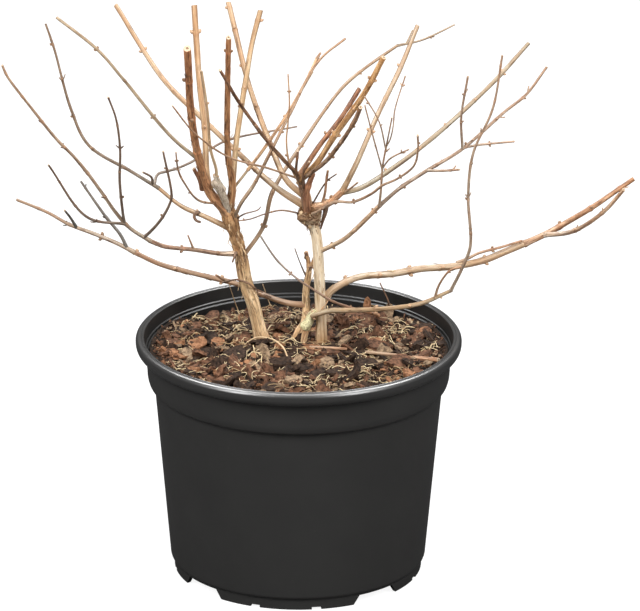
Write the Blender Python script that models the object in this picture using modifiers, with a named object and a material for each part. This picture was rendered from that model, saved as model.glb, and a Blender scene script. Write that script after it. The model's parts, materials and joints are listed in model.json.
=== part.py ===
"""A potted deutzia, bare after pruning: three stems, their canes and twigs, in a plastic pot.

Metres, +Z up. The origin is on the ground, under the middle of the pot. The long, low side
of the crown lies along X, and -Y faces the viewer. Sizes below are in millimetres.
"""
import math
import random
from collections import namedtuple

import bmesh
import bpy
import numpy as np
from mathutils import Vector

MM = 0.001

# Pot: a 230 mm container, turned about Z
LIP_RADIUS = 115.0
LIP_TOP = 173.0
LIP_BOTTOM = 163.2
MOUTH_RADIUS = 109.0
LEDGE_RADIUS = 107.2
COLLAR_RADIUS = 107.4
GROOVE_HEIGHT = 138.0
GROOVE_RADIUS = 102.4
BODY_FOOT_RADIUS = 89.8
WALL = 1.8
FOOT_HEIGHT = 7.8
FOOT_RADIUS = 87.8
FOOT_WIDTH = 3.4
FLOOR_TOP = 9.6
FLOOR_CORNER = 1.5
STEP_SLOPE = 1.3
PAD_RADIUS = 30.0
POT_STEPS = 72

# Foot ring: four wide feet, each with two small drain notches
FOOT_COUNT = 4
FIRST_GAP_DEG = -140.5
GAP_DEG = 19.0
NOTCH_DEG = 4.5
NOTCH_OFFSET_DEG = 14.4
NOTCH_HEIGHT = 2.0

# Potting mix, filled to under the ledge, and heaped against the wall at the left and right
MIX_TOP = 157.0
MIX_FLAT_RADIUS = 62.0
HEAP_HEIGHT = 8.0

# Clearance between pieces that touch, and how far apart the rings of a limb are
GAP = 0.3
RING_STEP = 13.0
SEARCH_STEP = 0.4
NODE_SPACING = 27.0

FINISHES = {
    "trunk": ((0.50, 0.36, 0.23), 0.85),
    "pale": ((0.62, 0.42, 0.25), 0.65),
    "orange": ((0.52, 0.31, 0.16), 0.65),
    "brown": ((0.24, 0.12, 0.07), 0.70),
    "dark": ((0.13, 0.09, 0.06), 0.75),
    "twig": ((0.30, 0.21, 0.14), 0.70),
    "plastic": ((0.012, 0.012, 0.013), 0.50),
    "mix": ((0.10, 0.055, 0.035), 0.95),
}

# A stem stands on the mix. thick and thin are the diameters over the flare and at the head
Stem = namedtuple("Stem", "name thick thin flare head foot route")

STEMS = [
    Stem("stem_left", 9.6, 7.8, 1.2, 1.5, (-26, 30),
         [(-28, 30, 166), (-32, 29, 184), (-38, 28, 204), (-41, 27, 222), (-46, 25, 243), (-50, 23, 257)]),
    Stem("stem_right", 7.3, 7.9, 1.2, 2.1, (16, 28),
         [(16, 28, 168), (15, 26, 190), (14, 23, 214), (12, 19, 241), (6, 16, 263)]),
    Stem("stem_back", 5.4, 3.4, 1.9, 0.8, (-1, 29),
         [(1, 30, 164), (5, 33, 174), (5, 36, 193), (7, 37, 210), (5, 38, 221)]),
]

# A limb leaves its parent at a share of the parent's length, and runs through route to its tip
Limb = namedtuple("Limb", "name parent leaves_at thick thin finish route")

BOUGHS = [
    Limb("bough_neck", "stem_right", 1.0, 5.6, 4.6, "dark", [(3, 11, 277), (0, 6, 290)]),
    Limb("bough_shoulder", "stem_right", 1.0, 4.8, 4.2, "dark", [(20, 8, 269), (31, 2, 281)]),
    Limb("bough_upper_left", "stem_left", 0.85, 3.3, 2.8, "pale",
         [(-66, 26, 252), (-83, 30, 258.5), (-99, 35, 270)]),
    Limb("bough_left", "stem_left", 0.67, 3.3, 2.9, "brown",
         [(-54, 19, 227), (-74, 8, 234), (-95, -4, 241), (-104, -10, 247)]),
    Limb("bough_low_left", "stem_back", 0.41, 4.2, 3.3, "pale",
         [(-10, 44, 181), (-27, 50, 185), (-41, 54, 190), (-74, 62, 195.6), (-99, 68, 200.5),
          (-117, 72, 207.7)]),
    Limb("bough_right", "stem_right", 0.66, 3.3, 3.0, "twig",
         [(30.4, 8, 241.6), (38.4, 0, 251.6), (56, -18, 277)]),
    Limb("bough_long_right", "stem_right", 0.29, 4.9, 4.9, "pale",
         [(25, 30, 197), (41, 36, 203), (66, 44, 203), (86, 50, 204.6), (109, 57.5, 203.6),
          (130, 64, 205.6), (145, 70, 209.7), (160, 75, 214.5)]),
    Limb("bough_low_right", "stem_back", 0.33, 3.9, 2.6, "pale",
         [(8, 25, 178), (13, 18, 182), (22, 12, 187), (35, 0, 192), (61, -20, 201), (85, -36, 211),
          (106, -50, 226)]),
]

CANES = [
    Limb("cane_dark_upright", "stem_left", 1.0, 5.6, 5.1, "brown",
         [(-63, 15, 275), (-70, 4, 302), (-75, -12, 339), (-77.4, -45, 402)]),
    Limb("cane_brown_upright", "stem_left", 1.0, 4.6, 3.5, "brown",
         [(-47, 18, 277), (-50, 8, 306), (-50, -12, 360), (-49, -30, 405)]),
    Limb("cane_pale_tall", "cane_dark_upright", 0.12, 4.3, 4.2, "pale",
         [(-65, 19, 287), (-66.2, 26, 315), (-70.4, 34, 351), (-74, 44, 403)]),
    Limb("cane_pale_upright", "cane_brown_upright", 0.08, 4.0, 3.8, "pale",
         [(-46, 27, 288), (-44, 36, 308), (-38, 54, 344), (-34, 70, 365), (-28, 86, 385)]),
    Limb("cane_slim_upright", "cane_dark_upright", 0.13, 2.1, 1.8, "pale",
         [(-58, 9, 290), (-62, 0, 312), (-64, -14, 345), (-68, -26, 379)]),
    Limb("cane_olive_left", "cane_dark_upright", 0.32, 2.6, 2.0, "twig",
         [(-90, -6, 324), (-123, -22, 372.3), (-140, -31, 396.2), (-167.6, -40, 422.6)]),
    Limb("cane_wiry_left", "cane_dark_upright", 0.05, 1.6, 1.1, "twig",
         [(-69, 6, 271), (-80, -30, 298), (-83.8, -48, 314), (-85, -70, 335)]),
    Limb("cane_leaning_right", "stem_left", 0.9, 2.8, 1.6, "twig",
         [(-41, 15, 266), (-32, 12, 281), (-22, 6, 304), (-6.5, 12, 334.7), (13.6, 24, 369.6),
          (32, 30, 384)]),
    Limb("cane_slim_leaning", "cane_brown_upright", 0.08, 1.8, 1.5, "pale",
         [(-36, 16, 291), (-24, 16, 308), (-7, 28, 331), (9, 42, 355)]),
    Limb("cane_arching_right", "stem_left", 0.63, 3.2, 2.0, "pale",
         [(-25.3, 38, 240.5), (-19.3, 46, 262.6), (1, 70, 290), (30, 100, 322.6), (45.3, 112.5, 332.4),
          (69, 130, 344)]),
    Limb("cane_long_left", "stem_right", 1.0, 3.9, 3.3, "pale",
         [(-16, 26, 274), (-42, 42, 293), (-71, 62, 315), (-96.6, 88, 332.6), (-131, 128, 374)]),
    Limb("cane_pale_crossing", "bough_neck", 0.32, 3.8, 3.6, "pale",
         [(-9, 20, 282), (-22, 42, 305), (-36, 74, 334), (-51, 126, 377)]),
    Limb("cane_dark_crossing", "bough_neck", 1.0, 3.0, 2.1, "dark",
         [(-18, -20, 320), (-40, -72, 370), (-54, -118, 412)]),
    Limb("cane_wiry_crossing", "bough_neck", 0.9, 1.5, 1.1, "twig",
         [(-21, -6, 300), (-48, -28, 316), (-71, -62, 345), (-87, -98, 379)]),
    Limb("cane_orange_right", "bough_neck", 0.9, 4.2, 3.9, "orange",
         [(11, -2, 301), (25, -16, 329), (44, -36, 365), (58, -56, 400)]),
    Limb("cane_red_right", "bough_neck", 1.0, 3.5, 3.2, "brown",
         [(13, 18, 307), (28, 34, 322), (42, 54, 338)]),
    Limb("cane_dark_right", "bough_neck", 0.87, 3.0, 2.9, "dark",
         [(16, -14, 306), (29, -62, 340), (38, -99, 368.6), (42, -122, 387)]),
    Limb("cane_pale_far_right", "bough_shoulder", 0.9, 3.5, 2.7, "pale",
         [(43, 10, 280), (71, 30, 291.6), (93, 50.5, 302.4), (115.3, 72, 315.4), (139, 94, 331.7),
          (162, 116, 351)]),
    Limb("cane_pale_right", "bough_shoulder", 0.94, 3.8, 3.0, "pale",
         [(39.7, 8, 298.4), (55, 38, 325), (71, 72, 348), (83, 106, 367)]),
    Limb("cane_wiry_right", "stem_right", 0.94, 2.2, 1.3, "twig",
         [(12, 4, 264), (25, -8, 276), (37, -23, 281.6), (50.3, -42, 294.8), (57.8, -53, 305),
          (67.5, -65.4, 314.3), (79, -90, 333), (81.5, -114, 355), (81, -128, 369)]),
]

# A red shoot comes up by itself, from the mix near the back wall
SHOOT = Limb("shoot_red", None, 0.0, 2.5, 1.2, "brown",
             [(57, 74, 157.6), (56.3, 72.8, 160.4), (50.5, 62, 166.6), (41.5, 44, 175.4), (32.6, 28, 184.5),
              (21.9, 12, 195.1), (11.3, 6, 204.5), (-0.8, 0, 215.2), (-15, -3, 230), (-27, -10, 251)])

# A mass grows on from its bough: one stem, its named twigs (share of the stem, route), and
# short spurs in opposite pairs by a seeded rule
Mass = namedtuple("Mass", "name bough thick thin seed route twigs")

MASSES = [
    Mass("twigs_low_left", "bough_low_left", 3.2, 2.0, 3,
         [(-129, 78.3, 211.9), (-146, 86.4, 216.3), (-164, 94.4, 220.4), (-180, 102, 226.8),
          (-202, 110, 233.3)],
         [(0.06, [(-127, 79, 218), (-138, 88, 229), (-156, 106, 249)]),
          (0.49, [(-163, 88, 228), (-167, 84, 235)])]),
    Mass("twigs_left", "bough_left", 2.8, 1.7, 5,
         [(-118, -19, 260), (-128.2, -25.4, 274.6), (-137.2, -31.4, 290.8), (-146.4, -37.3, 306.7),
          (-156.5, -43.2, 322), (-167.6, -49.3, 336.3), (-184.2, -59.4, 362.3), (-200.7, -73, 391),
          (-204, -76, 400)],
         [(0.03, [(-103, -18, 258), (-96, -26, 269.5), (-90.5, -34, 282.5), (-88.6, -40, 292),
                  (-94, -60, 332)]),
          (0.14, [(-123, -28, 276), (-124.5, -44, 304), (-123.7, -62, 334), (-126, -80, 363),
                  (-131, -92, 383)]),
          (0.13, [(-147.2, -44, 277.3), (-173, -72, 326)])]),
    Mass("twigs_upper_left", "bough_upper_left", 2.6, 1.5, 8,
         [(-108.5, 37, 275.3), (-119, 40, 281), (-148.7, 50, 296.6), (-161, 56, 321), (-173, 66, 363), (-179, 70, 380)],
         [(0.03, [(-104, 30, 280), (-110, 24, 286)]),
          (0.02, [(-100, 44, 277), (-93.4, 50, 277.2), (-85.9, 60, 276.1), (-74.1, 74, 277.1),
                  (-54, 82, 288), (-2, 112, 289)])]),
    Mass("twigs_arching_right", "cane_arching_right", 1.8, 1.1, 11,
         [(87, 140, 345), (110, 150, 353)],
         [(0.15, [(80, 138, 353)])]),
    Mass("twigs_right_upright", "bough_right", 1.8, 1.2, 14,
         [(57, -26, 292), (58, -34, 312), (61, -44, 334)],
         [(0.88, [(55, -58, 354), (45, -72, 377)]), (0.94, [(64, -56, 356)]),
          (0.92, [(63.1, -46, 336.7), (64.9, -49, 346.6), (66, -52, 360), (73, -60, 388)]),
          (0.56, [(52, -52, 337), (45, -78, 373)]), (0.58, [(63, -40, 320), (76, -54, 332)])]),
    Mass("twigs_right", "bough_right", 2.9, 1.8, 17,
         [(70.6, -26, 293.5), (87.4, -30, 306.8), (112.4, -34, 324.6), (142.4, -36, 353.6),
          (157, -38, 367), (171, -40, 388)],
         [(0.27, [(99, -42, 312), (111, -56, 318)]), (0.46, [(112, -48, 353), (116, -66, 390)]),
          (0.47, [(125, -22, 324), (150, 2, 318)])]),
    Mass("twigs_long_right", "bough_long_right", 4.7, 3.3, 20,
         [(177, 81, 220.8), (193, 87, 228.2), (209, 91.5, 236.8), (223, 96.6, 245.2), (238, 104, 253.5)],
         [(0.16, [(194, 70, 226), (215, 58, 245), (229, 50, 265)])]),
    Mass("twigs_low_right", "bough_low_right", 2.4, 1.4, 23,
         [(114, -58, 247), (119, -64, 265), (117, -70, 304), (120, -78, 338), (133, -84, 373),
          (139, -88, 413)],
         []),
]

# Short spurs on the twigs, in opposite pairs at each node
SPUR_LENGTHS = (2.0, 4.8)
SPUR_THICK = 1.3
SPUR_THIN = 0.8
SPUR_LEAN = math.radians(42.0)
SPUR_CHANCE = 0.55
SPUR_SPACE = 6.0

# The flare of a stem fades out over this height, and its head swells over this length
FOOT_STEP = 3.0
FLARE_REACH = 14.0
HEAD_CENTRE = 5.5
HEAD_REACH = 6.5

STEM_SIDES = 12
BOUGH_SIDES = 8
CANE_SIDES = 6
TWIG_SIDES = 4

# Limbs made so far, as (ring centres, ring radii) in millimetres
SHAPES = {}


def clear_scene():
    """Remove every object that the file already holds."""
    for item in list(bpy.data.objects):
        bpy.data.objects.remove(item, do_unlink=True)


def new_collection(name):
    """A collection linked to the scene."""
    made = bpy.data.collections.new(name)
    bpy.context.scene.collection.children.link(made)
    return made


def finish(name):
    """The Principled material of one finish."""
    made = bpy.data.materials.get(name)
    if made is None:
        colour, roughness = FINISHES[name]
        made = bpy.data.materials.new(name)
        made.use_nodes = True
        shader = made.node_tree.nodes["Principled BSDF"]
        shader.inputs["Base Color"].default_value = (*colour, 1.0)
        shader.inputs["Roughness"].default_value = roughness
        shader.inputs["Metallic"].default_value = 0.0
    return made


def between(a, b, low, high, t):
    """The point at t on the line that is at a when t is low and at b when t is high."""
    return a + (b - a) * (t - low) / (high - low)


def smooth_route(points):
    """A centripetal Catmull-Rom curve through the points, sampled every SEARCH_STEP."""
    points = np.array(points, dtype=float)
    guide = np.vstack([2 * points[0] - points[1], points, 2 * points[-1] - points[-2]])
    samples = []
    for p0, p1, p2, p3 in zip(guide, guide[1:], guide[2:], guide[3:]):
        k0 = 0.0
        k1 = k0 + math.sqrt(np.linalg.norm(p1 - p0))
        k2 = k1 + math.sqrt(np.linalg.norm(p2 - p1))
        k3 = k2 + math.sqrt(np.linalg.norm(p3 - p2))
        count = max(2, math.ceil(np.linalg.norm(p2 - p1) / SEARCH_STEP))
        for t in np.linspace(k1, k2, count, endpoint=False):
            a1 = between(p0, p1, k0, k1, t)
            a2 = between(p1, p2, k1, k2, t)
            a3 = between(p2, p3, k2, k3, t)
            b1 = between(a1, a2, k0, k2, t)
            b2 = between(a2, a3, k1, k3, t)
            samples.append(between(b1, b2, k1, k2, t))
    samples.append(points[-1])
    return np.array(samples)


def lengths_along(route):
    """Distance from the route's start to each of its points."""
    return np.concatenate([[0.0], np.cumsum(np.linalg.norm(np.diff(route, axis=0), axis=1))])


def place_on(route, share):
    """The point at a share of the route's length."""
    along = lengths_along(route)
    return np.array([np.interp(share * along[-1], along, route[:, axis]) for axis in range(3)])


def headings(route):
    """Unit direction of the route at each of its points."""
    slopes = np.gradient(route, axis=0)
    return slopes / np.linalg.norm(slopes, axis=1)[:, None]


def across(heading):
    """Two unit vectors square to a heading and to each other."""
    first = np.array(Vector(heading).orthogonal().normalized())
    return first, np.cross(heading, first)


def surface_distance(points, shape):
    """Distance from each point to a chain of flat-ended cones, negative inside them."""
    centres, radii = shape
    along = np.diff(centres, axis=0)
    length = np.linalg.norm(along, axis=1)
    heading = along / length[:, None]
    offset = points[:, None, :] - centres[None, :-1]
    run = np.einsum("psk,sk->ps", offset, heading)
    off_axis = np.linalg.norm(offset - run[..., None] * heading, axis=2)
    held_run = np.clip(run, 0.0, length)
    side = off_axis - (radii[:-1] + (radii[1:] - radii[:-1]) * held_run / length)
    beyond = np.abs(run - held_run)
    return np.where(beyond > 0.0, np.hypot(beyond, np.maximum(side, 0.0)), side).min(axis=1)


def nearest_limb(points, ignore=()):
    """Distance from the points to the closest limb made so far."""
    others = [shape for name, shape in SHAPES.items() if name not in ignore]
    return min((surface_distance(points, shape).min() for shape in others), default=math.inf)


def cut_end(centre, heading, radius):
    """Points round the edge of a flat cut end, and its centre."""
    first, second = across(heading)
    turns = np.linspace(0.0, 2 * math.pi, 12, endpoint=False)
    edge = [centre + radius * (math.cos(turn) * first + math.sin(turn) * second) for turn in turns]
    return np.array(edge + [centre])


def seated(route, radius):
    """The route from the first place where its cut end clears everything made so far."""
    ends = np.array([cut_end(point, heading, radius) for point, heading in zip(route, headings(route))])
    gaps = [surface_distance(ends.reshape(-1, 3), shape).reshape(len(ends), -1) for shape in SHAPES.values()]
    clear = np.hstack(gaps).min(axis=1) >= GAP
    return route[int(np.argmax(clear)):]


def taper(route, thick, thin):
    """Ring centres about RING_STEP apart along the route, and their radii."""
    count = max(3, math.ceil(lengths_along(route)[-1] / RING_STEP) + 1)
    shares = np.linspace(0.0, 1.0, count)
    centres = np.array([place_on(route, share) for share in shares])
    return centres, (thick + (thin - thick) * shares) / 2


def tube(name, shape, sides, colour):
    """A limb as a bevelled curve with filled ends, its radius set ring by ring."""
    centres, radii = shape
    curve = bpy.data.curves.new(name, "CURVE")
    curve.dimensions = "3D"
    curve.bevel_depth = MM
    curve.bevel_resolution = sides // 2 - 2
    curve.use_fill_caps = True
    spline = curve.splines.new("POLY")
    spline.points.add(len(centres) - 1)
    for point, centre, radius in zip(spline.points, centres, radii):
        point.co = (*(centre * MM), 1.0)
        point.radius = radius
    curve.materials.append(finish(colour))
    return bpy.data.objects.new(name, curve)


def applied(item):
    """A closed mesh object in place of an evaluated curve or modified mesh, its caps welded."""
    bpy.context.view_layer.update()
    graph = bpy.context.evaluated_depsgraph_get()
    mesh = bpy.data.meshes.new_from_object(item.evaluated_get(graph))
    work = bmesh.new()
    work.from_mesh(mesh)
    bmesh.ops.remove_doubles(work, verts=work.verts, dist=0.001 * MM)
    work.to_mesh(mesh)
    work.free()
    made = bpy.data.objects.new(item.name, mesh)
    made.matrix_world = item.matrix_world
    for holder in item.users_collection:
        holder.objects.link(made)
    name = item.name
    bpy.data.objects.remove(item, do_unlink=True)
    made.name = name
    return made


def add_stem(collection, stem):
    """A stem from its flat foot on the mix, over the root flare, to its head."""
    route = smooth_route([(*stem.foot, MIX_TOP + GAP), *stem.route])
    centres, radii = taper(route, stem.thick, stem.thin)
    centres = np.insert(centres, 1, centres[0] + (0.0, 0.0, FOOT_STEP), axis=0)
    radii = np.insert(radii, 1, radii[0])
    up = lengths_along(centres)
    down = up[-1] - up
    radii *= 1.0 + (stem.flare - 1.0) * np.clip(1.0 - up / FLARE_REACH, 0.0, 1.0)
    radii *= 1.0 + (stem.head - 1.0) * np.exp(-((down - HEAD_CENTRE) / HEAD_REACH) ** 2)
    SHAPES[stem.name] = (centres, radii)
    collection.objects.link(tube(stem.name, SHAPES[stem.name], STEM_SIDES, "trunk"))


def add_limb(collection, limb, sides):
    """A bough or cane, cut clear of its parent and of every limb that leaves near it."""
    route = limb.route
    if limb.parent:
        route = [place_on(smooth_route(SHAPES[limb.parent][0]), limb.leaves_at), *limb.route]
    route = seated(smooth_route(route), limb.thick / 2)
    SHAPES[limb.name] = taper(route, limb.thick, limb.thin)
    collection.objects.link(tube(limb.name, SHAPES[limb.name], sides, limb.finish))


def spurs_on(shape, rng, own_names, space):
    """Short side shoots in opposite pairs, each pair turned a quarter from the last."""
    route = smooth_route(shape[0])
    along = lengths_along(route)
    directions = headings(route)
    turn = rng.uniform(0.0, math.pi)
    for distance in np.arange(NODE_SPACING, along[-1] - SPUR_SPACE, NODE_SPACING):
        index = int(np.searchsorted(along, distance))
        heading = directions[index]
        first, second = across(heading)
        for side in (turn, turn + math.pi):
            length = rng.uniform(*SPUR_LENGTHS)
            grows = rng.random() < SPUR_CHANCE
            out = math.cos(side) * first + math.sin(side) * second
            aim = math.cos(SPUR_LEAN) * heading + math.sin(SPUR_LEAN) * out
            tip = route[index] + length * aim
            in_space = np.all(tip > space[0]) and np.all(tip < space[1])
            if grows and in_space and nearest_limb(cut_end(tip, aim, SPUR_THICK), own_names) > GAP:
                yield np.array([route[index], tip]), np.array([SPUR_THICK, SPUR_THIN]) / 2
        turn += math.pi / 2


def add_mass(collection, mass):
    """A twig mass: its stem, its named twigs and seeded spurs, joined into one closed solid."""
    rng = random.Random(mass.seed)
    start = SHAPES[mass.bough][0][-1]
    route = seated(smooth_route([start, *mass.route]), mass.thick / 2)
    shapes = [taper(route, mass.thick, mass.thin)]
    for leaves_at, twig_route in mass.twigs:
        thick = 0.8 * (mass.thick + (mass.thin - mass.thick) * leaves_at)
        twig = smooth_route([place_on(route, leaves_at), *twig_route])
        shapes.append(taper(twig, thick, 0.8 * mass.thin))
    names = [f"{mass.name}_{number}" for number in range(len(shapes))]
    SHAPES.update(zip(names, shapes))
    centres = np.vstack([centres for centres, radii in shapes])
    space = (centres.min(axis=0) - SPUR_SPACE, centres.max(axis=0) + SPUR_SPACE)
    spurs = [spur for shape in shapes for spur in spurs_on(shape, rng, names, space)]
    collection.objects.link(joined(mass.name, shapes + spurs))


def joined(name, shapes):
    """Overlapping tubes made one closed solid by a Boolean union on a collection."""
    holder = new_collection(name + "_pieces")
    for number, shape in enumerate(shapes):
        holder.objects.link(tube(f"{name}_piece_{number}", shape, TWIG_SIDES, "twig"))
    pieces = [applied(item) for item in list(holder.objects)]
    base = pieces[0]
    holder.objects.unlink(base)
    bpy.context.scene.collection.objects.link(base)
    union = base.modifiers.new("Union", "BOOLEAN")
    union.operation = "UNION"
    union.operand_type = "COLLECTION"
    union.collection = holder
    union.solver = "MANIFOLD"
    made = applied(base)
    bpy.context.scene.collection.objects.unlink(made)
    made.name = name
    for piece in list(holder.objects):
        bpy.data.objects.remove(piece, do_unlink=True)
    bpy.data.collections.remove(holder)
    return made


def turned(name, profile, colour, collection):
    """A solid turned about Z from a profile of (radius, height), with a Screw modifier."""
    mesh = bpy.data.meshes.new(name)
    points = [(radius * MM, 0.0, height * MM) for radius, height in profile]
    mesh.from_pydata(points, [(i, i + 1) for i in range(len(points) - 1)], [])
    mesh.materials.append(finish(colour))
    made = bpy.data.objects.new(name, mesh)
    screw = made.modifiers.new("Turn", "SCREW")
    screw.axis = "Z"
    screw.steps = POT_STEPS
    screw.render_steps = POT_STEPS
    screw.use_merge_vertices = True
    screw.merge_threshold = 0.0001 * MM
    screw.use_smooth_shade = True
    collection.objects.link(made)
    return made


def inner_wall(inset):
    """The pot's inner face from its floor up to below the step, then over the step, moved in."""
    body_foot = BODY_FOOT_RADIUS - WALL - inset
    return [
        (body_foot - FLOOR_CORNER, FLOOR_TOP + inset),
        (body_foot, FLOOR_TOP + FLOOR_CORNER + inset),
        (GROOVE_RADIUS - WALL - STEP_SLOPE - inset, GROOVE_HEIGHT - 1.0),
        (LEDGE_RADIUS - WALL - STEP_SLOPE - inset, GROOVE_HEIGHT + 4.5),
    ]


def pot_profile():
    """From the middle of the inner floor, up the wall, over the lip and down to the pad."""
    ledge = [
        (LEDGE_RADIUS - WALL, LIP_BOTTOM - 0.8),
        (LEDGE_RADIUS + 0.6, LIP_BOTTOM + 0.8),
    ]
    lip = [
        (MOUTH_RADIUS, LIP_TOP - 0.9),
        (MOUTH_RADIUS + 1.6, LIP_TOP),
        (LIP_RADIUS - 2.6, LIP_TOP - 0.2),
        (LIP_RADIUS - 0.8, LIP_TOP - 1.3),
        (LIP_RADIUS, LIP_TOP - 3.2),
        (LIP_RADIUS, LIP_BOTTOM + 4.2),
        (LIP_RADIUS - 0.9, LIP_BOTTOM + 1.7),
        (LIP_RADIUS - 2.7, LIP_BOTTOM),
    ]
    collar = [
        (COLLAR_RADIUS + 1.6, LIP_BOTTOM - 0.2),
        (COLLAR_RADIUS, LIP_BOTTOM - 2.2),
        (COLLAR_RADIUS - 0.9, GROOVE_HEIGHT + 6.0),
        (COLLAR_RADIUS - 2.2, GROOVE_HEIGHT + 1.6),
        (GROOVE_RADIUS, GROOVE_HEIGHT),
        (GROOVE_RADIUS - 0.9, GROOVE_HEIGHT - 1.6),
    ]
    foot = [
        (BODY_FOOT_RADIUS + 0.5, FOOT_HEIGHT + 3.0),
        (BODY_FOOT_RADIUS - 0.3, FOOT_HEIGHT + 0.6),
        (FOOT_RADIUS, FOOT_HEIGHT - 0.4),
        (FOOT_RADIUS - 0.2, 0.0),
        (FOOT_RADIUS - FOOT_WIDTH, 0.0),
        (FOOT_RADIUS - FOOT_WIDTH - 0.4, FOOT_HEIGHT),
    ]
    pad = [(PAD_RADIUS + 2.0, FOOT_HEIGHT), (PAD_RADIUS, 0.0), (0.0, 0.0)]
    return [(0.0, FLOOR_TOP), *inner_wall(0.0), *ledge, *lip, *collar, *foot, *pad]


def ring_cutter(holder, centre_deg, width_deg, height):
    """A block that cuts the foot ring over an angle, up to a height."""
    width = 2 * FOOT_RADIUS * math.tan(math.radians(width_deg / 2)) * MM
    turn = math.radians(centre_deg)
    depth = 12.0 * MM
    rise = 4.0 * MM
    bpy.ops.mesh.primitive_cube_add(size=1.0)
    block = bpy.context.object
    block.name = f"ring_cutter_{len(holder.objects)}"
    block.scale = (depth, width, height * MM + rise)
    reach = (FOOT_RADIUS - FOOT_WIDTH / 2) * MM
    block.location = (reach * math.cos(turn), reach * math.sin(turn), (height * MM - rise) / 2)
    block.rotation_euler = (0.0, 0.0, turn)
    block.hide_render = True
    block.display_type = "WIRE"
    for owner in list(block.users_collection):
        owner.objects.unlink(block)
    holder.objects.link(block)


def add_pot(collection, cutters):
    """The turned pot, its foot ring cut into four feet with drain notches."""
    pot = turned("pot", pot_profile(), "plastic", collection)
    for number in range(FOOT_COUNT):
        gap_deg = FIRST_GAP_DEG + number * 360.0 / FOOT_COUNT
        ring_cutter(cutters, gap_deg, GAP_DEG, FOOT_HEIGHT - 1.0)
        foot_deg = gap_deg + 180.0 / FOOT_COUNT
        for side in (-1, 1):
            ring_cutter(cutters, foot_deg + side * NOTCH_OFFSET_DEG, NOTCH_DEG, NOTCH_HEIGHT)
    cut = pot.modifiers.new("Feet", "BOOLEAN")
    cut.operation = "DIFFERENCE"
    cut.operand_type = "COLLECTION"
    cut.collection = cutters
    cut.solver = "EXACT"


def heap(x, y):
    """How far the mix is heaped up at a point, in millimetres."""
    radius = math.hypot(x, y)
    outward = np.clip((radius - MIX_FLAT_RADIUS) / (98.0 - MIX_FLAT_RADIUS), 0.0, 1.0)
    sideways = np.clip((abs(x) / max(radius, 1.0) - 0.6) / 0.35, 0.0, 1.0)
    return HEAP_HEIGHT * outward ** 2 * (3 - 2 * outward) * sideways ** 2 * (3 - 2 * sideways)


def add_mix(collection):
    """The potting mix, GAP clear of the pot's floor and wall, flat round the stems."""
    side = inner_wall(1.2 * GAP)[::-1]
    edge = side[0][0]
    shares = (0.0, 0.33, 0.66, 1.0)
    rings = [(MIX_FLAT_RADIUS + share * (edge - MIX_FLAT_RADIUS), MIX_TOP - 0.5 * share) for share in shares]
    profile = [(0.0, MIX_TOP), *rings, *side, (0.0, side[-1][1])]
    mix = applied(turned("potting_mix", profile, "mix", collection))
    for vert in mix.data.vertices:
        if vert.co.z > (MIX_TOP - 1.0) * MM:
            vert.co.z += heap(vert.co.x / MM, vert.co.y / MM) * MM


def main():
    clear_scene()
    plant = new_collection("potted_deutzia")
    for stem in STEMS:
        add_stem(plant, stem)
    for bough in BOUGHS:
        add_limb(plant, bough, BOUGH_SIDES)
    for cane in CANES:
        add_limb(plant, cane, CANE_SIDES)
    add_limb(plant, SHOOT, CANE_SIDES)
    for mass in MASSES:
        add_mass(plant, mass)
    add_mix(plant)
    add_pot(plant, new_collection("pot_cutters"))


main()
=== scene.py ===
# %% [markdown]
# # A potted deutzia, bare after pruning
#
# The real thing is a young shrub in a black nursery pot: three woody stems, about twenty cut
# canes, and thin side twigs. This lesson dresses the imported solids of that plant. Every limb
# follows the same routes as the solids do, and gets bark relief, nodes, buds and cut ends.
#
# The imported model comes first. It fixes where everything is, so no piece has to be fitted.

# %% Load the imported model
import itertools
import json
import math
import random
from collections import namedtuple

import bmesh
import bpy
import numpy as np
from mathutils import Matrix, Quaternion, Vector

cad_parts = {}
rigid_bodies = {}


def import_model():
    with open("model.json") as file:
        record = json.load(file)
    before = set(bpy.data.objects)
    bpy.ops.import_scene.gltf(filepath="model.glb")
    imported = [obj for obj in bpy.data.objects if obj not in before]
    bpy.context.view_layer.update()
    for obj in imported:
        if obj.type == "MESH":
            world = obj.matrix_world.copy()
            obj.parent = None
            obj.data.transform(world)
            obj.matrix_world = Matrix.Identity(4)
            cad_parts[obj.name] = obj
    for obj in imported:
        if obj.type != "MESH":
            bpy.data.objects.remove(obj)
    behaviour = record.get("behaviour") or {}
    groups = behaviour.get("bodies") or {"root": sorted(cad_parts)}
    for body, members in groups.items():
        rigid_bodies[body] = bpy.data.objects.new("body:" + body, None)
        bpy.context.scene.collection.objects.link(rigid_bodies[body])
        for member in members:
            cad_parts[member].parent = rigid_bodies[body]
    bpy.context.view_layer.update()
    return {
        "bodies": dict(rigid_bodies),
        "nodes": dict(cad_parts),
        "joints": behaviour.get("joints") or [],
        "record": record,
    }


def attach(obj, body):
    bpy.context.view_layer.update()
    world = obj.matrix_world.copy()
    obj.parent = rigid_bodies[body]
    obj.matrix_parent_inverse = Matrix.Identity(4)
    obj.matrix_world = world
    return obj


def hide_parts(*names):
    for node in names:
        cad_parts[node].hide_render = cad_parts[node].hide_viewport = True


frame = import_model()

MM = 0.001
SLOT_OF_NODE = {part["node"]: part["material_slot"] for part in frame["record"]["subparts"]}

# %% [markdown]
# ## The camera
#
# The photograph looks down on the plant by about 21 degrees from far away, so the crown shows
# almost no perspective. A long lens does the same. Its focal length follows from the real size
# of a pixel on the plant, which the pot's lip gives.

# %% Camera
VIEW_ELEVATION = math.radians(20.9)
VIEW_ROLL = math.radians(0.25)
VIEW_DISTANCE = 6.0
VIEW_TARGET = Vector((0.0149, 0.0, 0.1955))
IMAGE_WIDTH_PX = 640
PIXEL_ON_PLANT = 0.7034 * MM

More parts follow.
